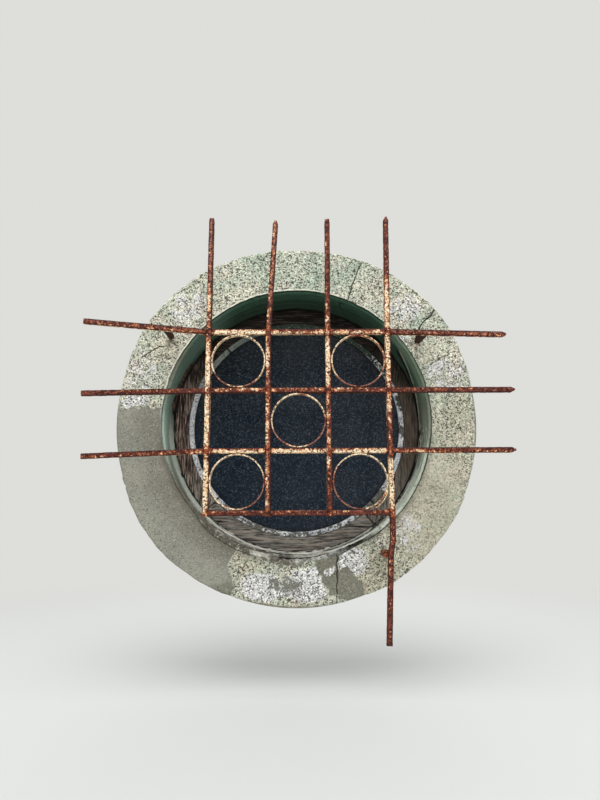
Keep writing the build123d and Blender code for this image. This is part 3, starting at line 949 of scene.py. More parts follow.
def shape_frame_segment(side, along, finish):
    """Quarter of the timber frame; along says which directions its grain follows."""
    start, end = angle_span(f"frame_{side}")
    section, away = outline(
        [
            (wood_outer_r, wood_front_y + wood_arris, 5.0),
            (wood_outer_r, wood_back_y, 5.0),
            (lip_r, wood_back_y, 4.0),
            (lip_r, lip_y, 4.0),
            (rebate_r, lip_y, 3.0),
            (rebate_r, wood_front_y + wood_arris, 1.1),
            (rebate_r + wood_arris, wood_front_y, 1.15),
            (wood_outer_r - wood_arris, wood_front_y, 1.1),
        ]
    )
    angles = np.radians(np.linspace(start, end, round((end - start) * FRAME_ROWS)))
    points, normals = turn(section, away, angles)
    y = points[..., 1]
    front = ease(y, wood_front_y + 3, wood_front_y + 1)
    size = np.where(along, 60.0, 3.2)
    fissure = noise(points, size, 101, 2)
    split = ease(fissure, 0.55, 0.95)
    wear = 0.35 + 0.5 * noise(points, np.where(along, 90.0, 7.0), 102, 2)
    ends = from_ends(angles, wood_outer_r)
    wear = wear + 1.4 * ease(ends, 5, 0)
    relief = np.minimum(-front * (wear + 2.0 * split), 0)
    points = points + normals * relief[..., None]
    radius = np.hypot(points[..., 0], points[..., 2])
    # Dark at the frame's outer edge: painted shade in the gap to the reveal
    dark = np.maximum(split, 0.85 * ease(radius, wood_outer_r - 2.6, wood_outer_r - 1.2))
    dark = np.maximum(dark, 0.8 * ease(ends, 2.2, 0.8))
    mesh = skin(f"frame_{side}_mesh", points, smooth_angle=50, split=dark * front)
    place(f"weathered_frame_{side}", mesh, finish, "frame_wood", f"frame_{side}")


def bead_finish():
    """Glazing bead: grey-green timber under cracked pale paint."""
    f = Finish("flaking_bead_paint", Specular_IOR_Level=0.3)
    grit = f.noise(4.2, 3, rough=0.7)
    grain = f.grains(2.8)
    cloud = f.noise(18, 2)
    height = f.axis("Z") * (1 / sight_r)
    wood = f.mix(height.between(-0.3, 0.75), tone(104, 103, 97), tone(58, 70, 61))
    wood = f.mix(f.toward(143, 50), wood, tone(160, 168, 160))
    wood = f.mix(grain.between(0.3, 0.1) * 0.6, wood, tone(34, 35, 31))
    wood = f.mix(grain.between(0.86, 0.95) * 0.5, wood, tone(150, 154, 148))
    paint = f.mix(cloud.between(0.4, 0.6), tone(206, 209, 216), tone(238, 238, 236))
    paint = f.mix(grit.between(0.46, 0.36) * 0.7, paint, tone(110, 112, 116))
    paint = f.mix(grain.between(0.14, 0.06) * 0.8, paint, tone(60, 60, 60))
    cover = (f.field("paint") + (grit - 0.5) * 1.2).between(0.42, 0.56)
    colour = f.mix(cover, wood, paint)
    colour = f.mix(f.field("seam"), colour, tone(14, 13, 11))
    return f.apply(colour, 0.7, cover + grit * 0.5, 0.5)


# Paint left on the beads: heading and reach in degrees, and how much remains
PAINTED_ARCS = (
    (181, 36, 1.0),
    (340, 24, 1.0),
    (214, 20, 0.75),
    (30, 26, 0.42),
    (10, 16, 0.52),
    (152, 12, 0.48),
    (240, 22, 0.42),
    (262, 18, 0.43),
    (294, 30, 0.5),
)


def shape_bead(side, finish):
    """Glazing bead with paint that lifts in flakes, most of it left at the sides."""
    start, end = angle_span(f"bead_{side}")
    section, away = outline(
        [
            (bead_outer_r, bead_back_y, 3.0),
            (bead_outer_r, bead_front_y, 1.1),
            (sight_r + bead_bevel, bead_front_y, 1.1),
            (sight_r, bead_front_y + bead_bevel, 2.2),
            (sight_r, bead_back_y, 4.0),
        ]
    )
    angles = np.radians(np.linspace(start, end, round((end - start) * BEAD_ROWS)))
    points, normals = turn(section, away, angles)
    y = points[..., 1]
    front = ease(y, bead_front_y + 6, bead_front_y + 3)
    paint = np.maximum(0.1, arcs(PAINTED_ARCS, points[..., 0], points[..., 2]))
    paint = paint * (1 + 0.3 * ease(y, bead_front_y + 3, bead_front_y + 6))
    flake = noise(points, 6.0, 111, 3) * 0.55 + noise(points, 22, 112, 2) * 0.35
    paint = paint + flake * (0.3 + 0.5 * paint)
    relief = -0.75 + 0.55 * ease(paint, 0.42, 0.58) - 0.3 * abs(noise(points, 3.5, 113))
    points = points + normals * (relief * front)[..., None]
    radius = np.hypot(points[..., 0], points[..., 2])
    ends = from_ends(angles, bead_outer_r)
    seam = np.maximum(ease(radius, bead_outer_r - 1.4, bead_outer_r - 0.3), ease(ends, 2.6, 1.0))
    mesh = skin(f"bead_{side}_mesh", points, smooth_angle=50, paint=paint, seam=seam)
    place(f"flaking_bead_{side}", mesh, finish, "bead_wood", f"bead_{side}")


def glass_finish():
    """Dark pane: dusty, faintly pebbled glass with no light behind it."""
    f = Finish("dusty_glass", Specular_IOR_Level=0.16, Roughness=0.22)
    dust = f.noise(4.6, 3, rough=0.7)
    speck = f.grains(2.1)
    film = f.noise(70, 3)
    height = f.axis("Z").between(200, -250)
    colour = f.mix(height, tone(10, 22, 32), tone(19, 31, 45))
    colour = f.mix(film.between(0.4, 0.7) * 0.3, colour, tone(26, 38, 44))
    colour = f.mix(dust.between(0.54, 0.7) * 0.35, colour, tone(70, 84, 94))
    colour = f.mix(dust.between(0.46, 0.34) * 0.6, colour, tone(6, 10, 16))
    colour = f.mix(speck.between(0.8, 0.95) * 0.5, colour, tone(92, 104, 114))
    colour = f.mix(f.field("edge") * 0.7, colour, tone(6, 8, 9))
    return f.apply(colour, f.noise(12, 2).between(0.2, 0.9) * 0.3 + 0.12, dust, 0.15)


# Radius at which the disc's rows close in on its centre, in millimetres
PANE_CENTRE = 0.5


def shape_pane():
    """Glass pane, very slightly wavy, as one turned disc."""
    section, away = outline(
        [
            (PANE_CENTRE, pane_front_y, 5.0),
            (pane_r, pane_front_y, 4.0),
            (pane_r, pane_back_y, 20.0),
            (PANE_CENTRE, pane_back_y, 4.0),
        ]
    )
    angles = np.linspace(0, 2 * pi, PANE_ROWS, endpoint=False)
    points, _ = turn(section, away, angles)
    front = points[..., 1] < pane_front_y + 0.5
    wave = 0.25 + 0.2 * noise(points, 45, 121, 2)
    points = points + np.array([0.0, 1.0, 0.0]) * (wave * front)[..., None]
    radius = np.hypot(points[..., 0], points[..., 2])
    edge = ease(radius, sight_r - 9, sight_r)
    mesh = skin("pane_mesh", points, closed=True, edge=edge)
    place("dark_pane", mesh, glass_finish(), "window_glass", "pane")


def rust_finish():
    """Rusted bars: scaly maroon rust with a painted highlight along the middle and painted shade at the
    edges, with cream paint left in places.
    """
    f = Finish("rusted_paint", Specular_IOR_Level=0.3)
    scale = f.noise(6.0, 3, rough=0.7)
    flake = f.noise(7.0, 3, shift=11, rough=0.7)
    cloud = f.noise(30, 2, shift=2)
    grit = f.grains(2.6)
    edge = f.field("edge")
    colour = f.mix(scale.between(0.4, 0.58), tone(50, 14, 10), tone(108, 48, 35))
    colour = f.mix(cloud.between(0.5, 0.7) * 0.35, colour, tone(132, 66, 40))
    # The streak is a painted highlight along the middle of each bar's front; on the rings and the loose
    # end it pales the rust all round
    streak = f.field("streak") + (scale - 0.5) * 1.2 + (grit - 0.5) * 0.3
    colour = f.mix(streak.between(0.45, 0.85) * 0.75, colour, tone(166, 120, 106))
    colour = f.mix(grit.between(0.84, 0.94) * 0.5, colour, tone(184, 122, 98))
    glow = f.mix(scale.between(0.43, 0.6), tone(54, 18, 11), tone(190, 96, 50))
    colour = f.mix(f.field("warmth") * 0.85, colour, glow)
    # Painted shade at the sides of the bars and round the weld lumps, and painted shadow on the lugs
    colour = f.mix(edge.between(0.3, 0.85) * 0.88, colour, tone(34, 10, 7))
    wear = f.field("paint") + (flake - 0.5) * 2.3 + (scale - 0.5) * 0.8 - edge * 0.35
    cream = f.mix(scale.between(0.42, 0.62), tone(254, 236, 202), tone(236, 196, 148))
    colour = f.mix(wear.between(0.2, 0.42), colour, tone(190, 104, 56))
    colour = f.mix(wear.between(0.4, 0.62), colour, cream)
    chips = f.noise(4.4, 2, shift=19, rough=0.8)
    colour = f.mix(chips.between(0.45, 0.39) * 0.85, colour, tone(84, 30, 18))
    colour = f.mix(grit.between(0.2, 0.1) * 0.9, colour, tone(40, 14, 10))
    return f.apply(colour, 0.72, scale + flake * 0.6 + grit * 0.25, 1.0)


# Paint left along each bar: place along the bar in millimetres, and how much remains
PAINT_LEFT = {
    "upright_1": (
        (440, 0.1), (300, 0.15), (255, 0.55), (190, 0.3), (150, 0.5), (110, 0.9), (-60, 0.9),
        (-80, 0.4), (-110, 0.8), (-200, 0.7),
    ),
    "upright_2": (
        (440, 0.25), (180, 0.25), (150, 0.5), (60, 0.3), (40, 0.35), (-70, 0.4), (-200, 0.35),
    ),
    "upright_3": (
        (440, 0.05), (260, 0.1), (220, 0.35), (160, 0.8), (70, 0.7), (40, 0.4), (-20, 0.2),
        (-90, 0.55), (-120, 0.15), (-200, 0.05),
    ),
    "upright_4": (
        (440, 0.0), (330, 0.05), (270, 0.6), (190, 0.75), (150, 0.8), (100, 0.6), (60, 0.45),
        (10, 0.6), (-30, 0.2), (-75, 0.35), (-100, 0.9), (-180, 0.9), (-215, 0.15), (-460, 0.05),
    ),
    "crossbar_1": (
        (-455, 0.05), (-240, 0.25), (-190, 0.2), (-170, 0.85), (-70, 0.8), (-20, 0.45),
        (60, 0.4), (170, 0.5), (200, 0.1), (450, 0.1),
    ),
    "crossbar_2": (
        (-455, 0.05), (-200, 0.15), (-180, 0.4), (-40, 0.3), (120, 0.35), (170, 0.15), (460, 0.0),
    ),
    "crossbar_3": (
        (-450, 0.15), (-300, 0.1), (-190, 0.3), (-150, 0.65), (180, 0.75), (200, 0.25), (460, 0.1),
    ),
    "crossbar_4": ((-200, 0.1), (200, 0.05)),
}
# How much more cream is put on a bar's right or lower side than on its other side
CREAM_LEAN = {
    "upright_1": -0.25,
    "upright_2": -0.35,
    "upright_3": -0.35,
    "upright_4": -0.2,
    "crossbar_1": 0.4,
    "crossbar_2": -0.25,
    "crossbar_3": 0.35,
    "crossbar_4": -0.3,
}
# How strong the painted highlight along a bar is, and on which side of its middle it runs
BAR_HIGHLIGHT = {
    "upright_1": (0.9, 0.0),
    "upright_2": (0.8, 0.0),
    "crossbar_1": (0.6, -0.2),
    "crossbar_2": (0.45, -0.3),
    "crossbar_4": (0.7, -0.9),
}
PLAIN_HIGHLIGHT = (0.3, 0.0)
# How far in each side of a bar's free end is worn, in millimetres; other ends stay blunt
TIP_WEAR = {
    "upright_2": 3.4,
    "upright_4": 4.0,
    "crossbar_1": 3.4,
    "crossbar_2": 4.0,
    "crossbar_3": 4.0,
}
BLUNT_WEAR = 0.9
# In millimetres: the softening of a bar's edges, the spacing of its rows, how far a bend is
# smoothed, how far the rows at a notch lie from its edge, and how far halved bars keep from
# their shared middle
SOFT_EDGE = 1.7
ROW_STEP = 2.1
BEND_REACH = 5.0
NOTCH_EDGE = 0.04
HALVING_GAP = 0.05


def bar_section():
    """Square bar with softened edges, as offsets across and through the grille."""
    half = bar / 2
    flat = half - SOFT_EDGE
    shape = []
    for quarter in range(4):
        heading = quarter * pi / 2
        corner_x = cos(heading + pi / 4) * flat * 2**0.5
        corner_y = sin(heading + pi / 4) * flat * 2**0.5
        for lean in (-0.5, 0, 0.5):
            angle = heading + pi / 4 + lean * pi / 2.2
            shape.append((corner_x + SOFT_EDGE * cos(angle), corner_y + SOFT_EDGE * sin(angle)))
        for share in (0.25, 0.5, 0.75):
            side = flat - 2 * flat * share
            across = side * cos(heading) - half * sin(heading)
            through = side * sin(heading) + half * cos(heading)
            shape.append((across, through))
    return np.array(shape)


def reach_along(route):
    """How far along a route each of its points lies."""
    steps = np.linalg.norm(np.diff(route, axis=0), axis=1)
    return np.concatenate([[0], np.cumsum(steps)])


def bar_path(route, reach, notches):
    """Stops along a route, with doubled rows at each notch's edges, and the place and the
    direction at each stop."""
    stops = list(np.arange(0, reach[-1], ROW_STEP)) + [reach[-1]]
    for low, high in notches:
        stops += [low - NOTCH_EDGE, low + NOTCH_EDGE, high - NOTCH_EDGE, high + NOTCH_EDGE]
    stops = np.unique(np.clip(stops, 0, reach[-1]))
    before, line, after = (
        np.stack([np.interp(stops + shift, reach, route[:, k]) for k in (0, 1)], 1)
        for shift in (-BEND_REACH, 0, BEND_REACH)
    )
    ahead = after - before
    ahead /= np.linalg.norm(ahead, axis=1)[:, None]
    return stops, line, ahead


def bar_looks(name, points, section, along, crossings):
    """Paint, a painted highlight streak, warm rust at the crossings and painted shade on the sides, over
    a bar's points.
    """
    half = bar / 2
    side, deep = section[:, 0], section[:, 1]
    seed = sum(map(ord, name))
    places, amounts = zip(*sorted(PAINT_LEFT[name]))
    paint = np.interp(along, places, amounts) + CREAM_LEAN.get(name, 0.0) * side / half
    # Painted highlight along the middle of the bar's front
    highlight, lean = BAR_HIGHLIGHT.get(name, PLAIN_HIGHLIGHT)
    streak = highlight * ease(abs(side / half - lean), 0.75, 0.1)[None] * ease(deep, 0, -half)[None]
    warmth = np.zeros(along.shape)
    for crossing in crossings:
        warmth = np.maximum(warmth, ease(abs(along - crossing), 14, 7))
    edge = ease(np.abs(section).min(1), 0.75 * half, half)[None]
    paint = paint - 0.35 * edge + 0.12 * noise(points, 14, seed + 2, 2)
    warmth = warmth * ease(noise(points, 8, seed + 3, 2), -0.9, 0.0)
    # Painted shade towards the sides of the bar, strongest at the front
    dark = ease(abs(side) / half, 0.5, 1.0)[None] * ease(deep, half, -half)[None]
    return {
        "paint": paint * (1 - 0.5 * warmth),
        "streak": streak + 0 * along,
        "warmth": warmth,
        "edge": dark + 0 * along,
    }


def shape_bar(name, route, crossings, halved_front, finish):
    """One bar of the grille along a route of x and z, notched where the others cross it."""
    route = np.array(route, float)
    reach = reach_along(route)
    upright = abs(route[-1, 1] - route[0, 1]) > abs(route[-1, 0] - route[0, 0])
    lane = 1 if upright else 0
    order = np.argsort(route[:, lane])
    half = bar / 2
    middles = [np.interp(crossing, route[order, lane], reach[order]) for crossing in crossings]
    notches = [(middle_at - half, middle_at + half) for middle_at in middles]
    stops, line, ahead = bar_path(route, reach, notches)
    section = bar_section()
    across = np.stack([-ahead[:, 1], ahead[:, 0]], 1)
    side, deep = section[:, 0], section[:, 1]
    points = np.empty((len(stops), len(section), 3))
    points[..., 0] = line[:, :1] + across[:, :1] * side
    points[..., 1] = grille_mid_y + deep
    points[..., 2] = line[:, 1:] + across[:, 1:] * side
    normals = np.empty(points.shape)
    spread = section / np.linalg.norm(section, axis=1)[:, None]
    normals[..., 0] = across[:, :1] * spread[:, 0]
    normals[..., 1] = spread[:, 1]
    normals[..., 2] = across[:, 1:] * spread[:, 0]
    seed = sum(map(ord, name))
    relief = -0.42 + 0.28 * noise(points, 9, seed, 2) + 0.22 * noise(points, 3.2, seed + 5)
    relief -= 0.5 * ease(noise(points, 7, seed + 9, 2), 0.5, 0.9)
    tip = np.minimum(stops, reach[-1] - stops)
    wear = TIP_WEAR.get(name, BLUNT_WEAR)
    free = ease(tip, 9, 0)[:, None] * (abs(side) / half)
    free = free * (stops < reach[-1] / 2)[:, None]
    points = points + normals * np.minimum(relief, -0.02)[..., None]
    points[..., 0] -= across[:, :1] * side * free * wear / half
    points[..., 2] -= across[:, 1:] * side * free * wear / half
    for low, high in notches:
        cut = (stops > low) & (stops < high)
        level = points[cut, :, 1]
        if halved_front:
            points[cut, :, 1] = np.maximum(level, grille_mid_y + HALVING_GAP)
        else:
            points[cut, :, 1] = np.minimum(level, grille_mid_y - HALVING_GAP)
    along = line[:, lane][:, None] + 0 * deep
    looks = bar_looks(name, points, section, along, crossings)
    mesh = skin(f"{name}_mesh", points, **looks)
    place(f"rusted_{name}", mesh, finish, "grille_steel", name)


# Near a free end, in millimetres: how much of the bar counts as its end, and how far the worn
# end stays inside the solid's
END_LENGTH = 5.5
END_SETBACK = 0.9


def end_of(node, lane, sign):
    """Middle of a bar's free end: lane 0 is along x, 2 along z; sign picks the end."""
    points = corners_of(node)
    last = points[:, lane].max() if sign > 0 else points[:, lane].min()
    tip = points[abs(points[:, lane] - last) < END_LENGTH]
    other = 2 - lane
    centre = (tip[:, other].min() + tip[:, other].max()) / 2
    last -= END_SETBACK * sign
    return (last, centre) if lane == 0 else (centre, last)


# Where the fourth upright's tail bends, and how far its kink lies from the bar's line, with
# its height
TAIL_BEND_Z = -255.0
TAIL_KINK = (-5.0, -284.0)


def shape_grille():
    """Four uprights and four crossbars, with their free ends as they were bent."""
    finish = rust_finish()
    for i, x in enumerate(columns):
        name = f"upright_{i + 1}"
        route = [end_of(name, 2, 1), (x, rows[0]), (x, rows[3] - bar / 2)]
        if i == 3:
            kink = (x + TAIL_KINK[0], TAIL_KINK[1])
            route[2:] = [(x, TAIL_BEND_Z), kink, end_of(name, 2, -1)]
        shape_bar(name, route, rows, False, finish)
    for i, z in enumerate(rows):
        name = f"crossbar_{i + 1}"
        right = end_of(name, 0, 1)
        route = [right, (columns[3], z), (columns[0], z), end_of(name, 0, -1)]
        if i == 3:
            route = [(right[0], z), (columns[0] - bar / 2, z)]
        shape_bar(name, route, columns, True, finish)
    return finish


# Degrees between the rows of a ring, and the fewest rows on a short arc
RING_STEP = 2.2
FEWEST_ROWS = 12


def strip_ring(centre, radius, thick, span, lift, seed):
    """Points of a flat strip bent about a centre: a ring, or an arc that lifts outward."""
    start, end = span
    count = max(FEWEST_ROWS, round(abs(end - start) / RING_STEP))
    angles = np.radians(np.linspace(start, end, count, endpoint=span != FULL_RING))
    half, deep = thick / 2, bar / 2
    soft = 0.6
    section, away = outline(
        [
            (-half + soft, -deep, 1.2),
            (half - soft, -deep, 1.0),
            (half, -deep + soft, 3.5),
            (half, deep - soft, 1.0),
            (half - soft, deep, 1.5),
            (-half + soft, deep, 1.0),
            (-half, deep - soft, 3.5),
            (-half, -deep + soft, 1.0),
        ]
    )
    out = radius - half + lift * np.linspace(0, 1, count)
    spread = out[:, None] + section[None, :, 0]
    points = np.empty((count, len(section), 3))
    points[..., 0] = centre[0] + spread * np.cos(angles)[:, None]
    points[..., 1] = grille_mid_y + section[None, :, 1]
    points[..., 2] = centre[1] + spread * np.sin(angles)[:, None]
    normals = np.empty(points.shape)
    normals[..., 0] = away[None, :, 0] * np.cos(angles)[:, None]
    normals[..., 1] = away[None, :, 1]
    normals[..., 2] = away[None, :, 0] * np.sin(angles)[:, None]
    relief = -0.22 + 0.2 * noise(points, 5, seed, 2)
    return points + normals * np.minimum(relief, 0)[..., None]


def join_meshes(name, meshes):
    """One mesh from several."""
    parts = [bpy.data.objects.new("part", mesh) for mesh in meshes]
    for part in parts:
        bpy.context.scene.collection.objects.link(part)
    with bpy.context.temp_override(active_object=parts[0], selected_editable_objects=parts):
        bpy.ops.object.join()
    joined = parts[0].data
    bpy.data.objects.remove(parts[0])
    joined.name = name
    return joined


# Paint left on each ring: heading and reach in degrees, and how much remains
RING_PAINT = {
    "ring_upper_left": ((40, 75, 1.0), (110, 55, 0.75), (170, 60, 0.95), (265, 30, 0.55), (335, 34, 0.8)),
    "ring_upper_right": ((152, 60, 1.0), (190, 40, 0.8), (55, 50, 0.5), (345, 34, 0.5)),
    "ring_centre": ((45, 50, 0.8), (125, 60, 0.8), (180, 34, 0.9), (268, 30, 0.75)),
    "ring_lower_left": ((60, 70, 0.95), (120, 60, 1.0), (195, 75, 0.95), (270, 28, 0.55)),
    "ring_lower_right": ((15, 60, 0.95), (95, 80, 1.0), (298, 30, 0.75)),
}
FULL_RING = (0.0, 360.0)
STRIP_THICK = 3.0
# Loose end of the lower right ring: first and last angle in degrees, then in millimetres how
# thick it is, how far out it starts and how much further it springs
LOOSE_SPAN = (-19.0, -61.0)
LOOSE_THICK = 2.4
LOOSE_OUT = 2.6
LOOSE_SPRING = 3.3


def ring_radius(name):
    """Outer radius of a ring, in millimetres."""
    low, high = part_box(name)
    return (high.x - low.x) / 2 / MM


def loose_end(centre, radius):
    """Strip that has sprung off a ring."""
    tail = strip_ring(centre, radius + LOOSE_OUT, LOOSE_THICK, LOOSE_SPAN, LOOSE_SPRING, 230)
    flat = 0 * tail[..., 0]
    return skin("loose_end", tail, paint=flat + 0.7, warmth=flat, streak=flat + 0.9)


def shape_rings(finish):
    """Rings of flat strip, the lower right one with a loose end that has sprung outward."""
    for seed, (name, marks) in enumerate(RING_PAINT.items(), 200):
        centre, radius = middle(name), ring_radius(name)
        ring = strip_ring(centre, radius, STRIP_THICK, FULL_RING, 0.0, seed)
        dx, dz = ring[..., 0] - centre[0], ring[..., 2] - centre[1]
        paint = np.maximum(0.12, arcs(marks, dx, dz))
        warmth = sum(ease(abs(turned_from(tack, dx, dz)), 9, 4) for tack in (0, 90, 180, 270))
        streak = 0.9 + 0 * warmth
        mesh = skin(f"{name}_mesh", ring, True, paint=paint, warmth=warmth, streak=streak)
        if name == "ring_lower_right":
            mesh = join_meshes(f"{name}_mesh", [mesh, loose_end(centre, radius)])
        place(f"rusted_{name}", mesh, finish, "grille_steel", name)


# Weld lumps: rows and points round each, and how square they are
LUMP_ROWS = 9
LUMP_AROUND = 18
LUMP_SQUARE = 3.0
# Half sizes in millimetres of the lumps on a crossing and in its four corners
CROSSING_LUMP = (6.7, 3.0, 6.7)
CORNER_LUMP = (1.8, 4.4, 1.8)


def lump(centre, reach, seed):
    """Points of a closed, lumpy blob; reach is its half size along x, y and z."""
    tilt = np.linspace(0.04, pi - 0.04, LUMP_ROWS)[:, None]
    spin = np.linspace(0, 2 * pi, LUMP_AROUND, endpoint=False)[None]
    ahead = -np.cos(tilt) + 0 * spin
    facing = np.stack([np.sin(tilt) * np.cos(spin), ahead, np.sin(tilt) * np.sin(spin)], -1)
    size = (abs(facing) ** LUMP_SQUARE).sum(-1, keepdims=True) ** (-1 / LUMP_SQUARE)
    points = facing * size * np.array(reach)
    swell = 1 + 0.16 * noise(points + np.array(centre), 4.5, seed, 2)
    return points * swell[..., None] * 0.93 + np.array(centre)


def weld_lump(centre, reach, seed, warmth):
    """Lump of weld that stays behind the front of the grille."""
    points = lump(centre, reach, seed)
    points[..., 1] = np.maximum(points[..., 1], grille_front_y + 0.02)
    flat = 0 * points[..., 0]
    away = np.hypot(points[..., 0] - centre[0], points[..., 2] - centre[2]) / reach[0]
    # Painted shadow gap round each lump's edge
    looks = {"paint": flat + 0.05, "warmth": flat + warmth, "edge": ease(away, 0.55, 1.0)}
    return skin("lump", points, **looks)


def shape_welds(finish):
    """Weld lumps at the sixteen crossings and small tacks where the rings touch the bars."""
    meshes = []
    for i, x in enumerate(columns):
        for j, z in enumerate(rows):
            seed = 300 + 4 * i + j
            meshes.append(weld_lump((x, grille_front_y + 3.1, z), CROSSING_LUMP, seed, 0.9))
            for sx, sz in product((-1, 1), repeat=2):
                corner = (x + bar / 2 * sx, grille_mid_y, z + bar / 2 * sz)
                meshes.append(weld_lump(corner, CORNER_LUMP, seed + 40, 0.6))
    for name in RING_PAINT:
        cx, cz = middle(name)
        radius = ring_radius(name)
        for seed, (dx, dz) in enumerate(((-1, 0), (0, 1), (0, -1), (1, 0)), 400):
            spot = (cx + dx * radius, grille_mid_y - 0.4, cz + dz * radius)
            reach = (2.6 + 2 * abs(dz), 4.6, 2.6 + 2 * abs(dx))
            meshes.append(weld_lump(spot, reach, seed, 0.5))
    mesh = join_meshes("welds_mesh", meshes)
    place("crossing_welds", mesh, finish, "grille_steel")


# Paint, orange rust, dark rust with painted shadow over the lug, and painted shadow at the foot of each
# lug
LUG_LOOKS = {
    "lug_left": (-0.4, 0.0, 1.2, 0.0),
    "lug_right": (0.0, 0.3, 1.0, 0.0),
    "lug_lower": (0.2, 1.3, 0.15, 1.1),
}
LUG_ROWS = 38


def shape_lugs(finish):
    """Lugs from the back of the bars to their pockets in the surround."""
    for seed, (name, shares) in enumerate(LUG_LOOKS.items(), 500):
        low, high = (np.array(corner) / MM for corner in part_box(name))
        points = corners_of(name)
        foot = points[points[:, 1] > high[1] - 0.1]
        foot_half = (foot[:, 0].max() - foot[:, 0].min()) / 2
        head_half = (high[0] - low[0]) / 2
        depths = np.linspace(low[1], high[1], LUG_ROWS)
        half_x = np.interp(depths, (low[1], face_y), (head_half, foot_half))[:, None]
        section = bar_section() / (bar / 2)
        grid = np.empty((len(depths), len(section), 3))
        cx, cz = middle(name)
        grid[..., 0] = cx + half_x * section[:, 0]
        grid[..., 1] = depths[:, None]
        grid[..., 2] = cz + bar / 2 * section[:, 1]
        away = section / np.linalg.norm(section, axis=1)[:, None]
        normals = np.stack([away[:, 0], 0 * away[:, 0], away[:, 1]], 1)[None]
        relief = -0.5 + 0.45 * noise(grid, 6, seed, 3)
        grid = grid + normals * np.minimum(relief, 0)[..., None]
        flat = 0 * grid[..., 0]
        paint, warmth, edge, foot_edge = shares
        # Painted shadow over the lug and at its foot, with its dark rust
        edges = flat + edge + foot_edge * ease(face_y - depths, 20, 8)[:, None]
        looks = {"paint": flat + paint, "warmth": flat + warmth, "edge": edges}
        mesh = skin(f"{name}_mesh", grid, **looks)
        place(f"rusted_{name}", mesh, finish, "grille_steel", name)


def hidden_finishes():
    """Procedural finishes for the pieces inside that keep their plain solids."""
    looks = {
        "bedding": ("putty", (150, 144, 128), (118, 112, 98), 0.9),
        "frame_dowels": ("dowel_beech", (176, 138, 96), (140, 104, 68), 0.7),
        "frame_spikes": ("spike_rust", (96, 54, 38), (58, 34, 28), 0.8),
        "bead_sprigs": ("sprig_rust", (110, 64, 44), (62, 38, 30), 0.75),
    }
    for node, (name, light, dark, rough) in looks.items():
        f = Finish(name, Specular_IOR_Level=0.3)
        grain = f.noise(3.0, 3)
        colour = f.mix(grain.between(0.35, 0.65), tone(*dark), tone(*light))
        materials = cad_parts[node].data.materials
        materials.clear()
        materials.append(f.apply(colour, rough, grain, 0.4))


# Camera, floor and light. The camera's focal length and frame are in the photograph's pixels,
# its place is in metres and its angles are in radians.
FOCAL_PIXELS = 640.0
FRAME_HEIGHT_PIXELS = 800.0
SENSOR_MM = 36.0
CAMERA_PLACE = (-0.00215, -1.4128, -0.1956)
CAMERA_PITCH = 0.1709
CAMERA_YAW = 0.0068
CAMERA_ROLL = -0.0045


def add_camera():
    """Camera at the photograph's place, a little below the window's centre and looking up."""
    data = bpy.data.cameras.new("camera")
    data.sensor_width = SENSOR_MM
    data.lens = SENSOR_MM * FOCAL_PIXELS / FRAME_HEIGHT_PIXELS
    camera = bpy.data.objects.new("camera", data)
    p, y, r = CAMERA_PITCH, CAMERA_YAW, CAMERA_ROLL
    ahead = Vector((sin(y) * cos(p), cos(y) * cos(p), sin(p)))
    side = Vector((cos(y), -sin(y), 0))
    up = side.cross(ahead)
    right = cos(r) * side + sin(r) * up
    above = cos(r) * up - sin(r) * side
    turned_to = Matrix((right, above, -ahead)).transposed().to_4x4()
    camera.matrix_world = Matrix.Translation(CAMERA_PLACE) @ turned_to
    bpy.context.scene.collection.objects.link(camera)
    bpy.context.scene.camera = camera


BACKGROUND = tone(222, 222, 218)
# In metres: the floor's height and width; and in millimetres where it starts and ends to fade
FLOOR_Z = -0.56
FLOOR_SIZE = 30.0
FADE_START, FADE_END = 700.0, 2400.0


def add_floor():
    """Plain pale floor that fades into the background away from the window."""
    half = FLOOR_SIZE / 2
    mesh = bpy.data.meshes.new("floor")
    corners = [(-half, -half, 0), (half, -half, 0), (half, half, 0), (-half, half, 0)]
    mesh.from_pydata(corners, [], [(0, 1, 2, 3)])
    floor = bpy.data.objects.new("floor", mesh)
    floor.location.z = FLOOR_Z
    bpy.context.scene.collection.objects.link(floor)
    f = Finish("pale_floor", Roughness=0.9, Specular_IOR_Level=0.1)
    f.shader.inputs["Base Color"].default_value = tone(206, 206, 202)
    away = f.node("ShaderNodeVectorMath", {"operation": "LENGTH"}, {0: f.place}, "Value")
    fade = away.between(FADE_START, FADE_END)
    glow = f.node("ShaderNodeEmission", None, {"Color": BACKGROUND, "Strength": 1.0})
    plain = Signal(f, f.shader.outputs[0])
    mixed = f.node("ShaderNodeMixShader", None, {0: fade, 1: plain, 2: glow})
    f.tree.links.new(mixed.socket, f.tree.nodes["Material Output"].inputs["Surface"])
    mesh.materials.append(f.material)


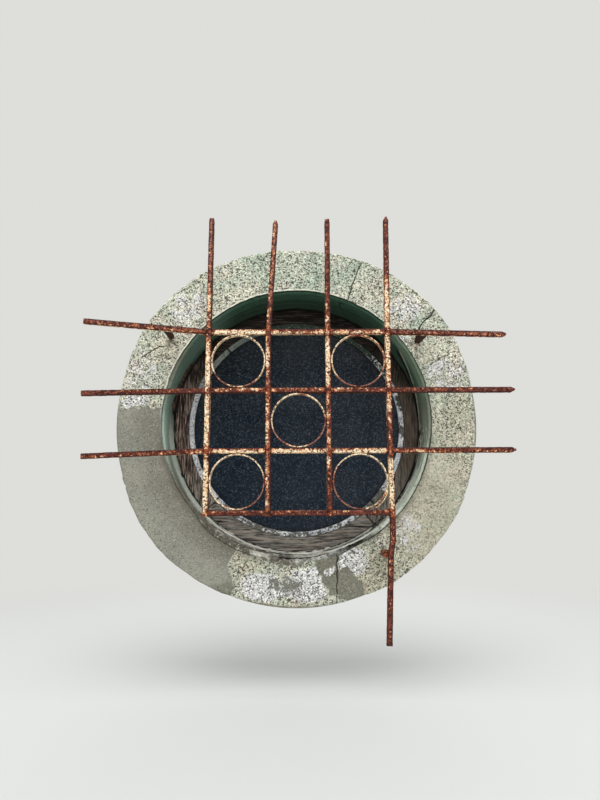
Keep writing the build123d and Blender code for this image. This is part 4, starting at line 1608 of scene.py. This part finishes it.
def add_light(name, place, size, power):
    """Square soft lamp that faces the window."""
    data = bpy.data.lights.new(name, "AREA")
    data.size = size
    data.energy = power
    lamp = bpy.data.objects.new(name, data)
    lamp.location = place
    lamp.rotation_euler = Vector(place).to_track_quat("Z", "Y").to_euler()
    bpy.context.scene.collection.objects.link(lamp)


def add_world():
    """Soft sky: brighter above, dimmer below, with a plain pale background."""
    world = bpy.data.worlds.new("sky")
    world.use_nodes = True
    bpy.context.scene.world = world
    sky = Nodes(world.node_tree)
    facing = sky.node("ShaderNodeTexCoord", output="Generated")
    height = sky.node("ShaderNodeSeparateXYZ", None, {0: facing}, "Z")
    light = sky.mix(height.between(-0.4, 0.8), tone(112, 112, 110), tone(226, 230, 234))
    seen = sky.node("ShaderNodeLightPath", output="Is Camera Ray")
    rays = seen.socket.node.outputs
    for ray in ("Is Glossy Ray", "Is Transmission Ray"):
        seen = seen.most(Signal(sky, rays[ray]))
    colour = sky.mix(seen, light, BACKGROUND)
    sky.tree.links.new(colour.socket, sky.tree.nodes["Background"].inputs["Color"])


# Each lamp's place and size in metres, and its power in watts
LAMPS = {
    "key": ((-0.1, -1.35, 2.45), 2.8, 74),
    "fill": ((0.9, -2.4, 0.2), 2.0, 8),
    "behind": ((0.3, 2.4, 1.4), 2.0, 22),
}


def main():
    """The stage, then the window from its surround inwards, and its grille."""
    add_camera()
    add_floor()
    add_world()
    for lamp, settings in LAMPS.items():
        add_light(lamp, *settings)
    shape_surround()
    shape_lining()
    upright_wood = wood_finish("upright_grain", (1, 1, 14))
    level_wood = wood_finish("level_grain", (14, 1, 1))
    for side in ("left", "right"):
        shape_frame_segment(side, UPRIGHT_GRAIN, upright_wood)
    for side in ("top", "bottom"):
        shape_frame_segment(side, LEVEL_GRAIN, level_wood)
    bead_paint = bead_finish()
    for side in ("right", "top", "left", "bottom"):
        shape_bead(side, bead_paint)
    shape_pane()
    rust = shape_grille()
    shape_rings(rust)
    shape_welds(rust)
    shape_lugs(rust)
    hidden_finishes()


bpy.context.scene.view_settings.view_transform = "Standard"
main()
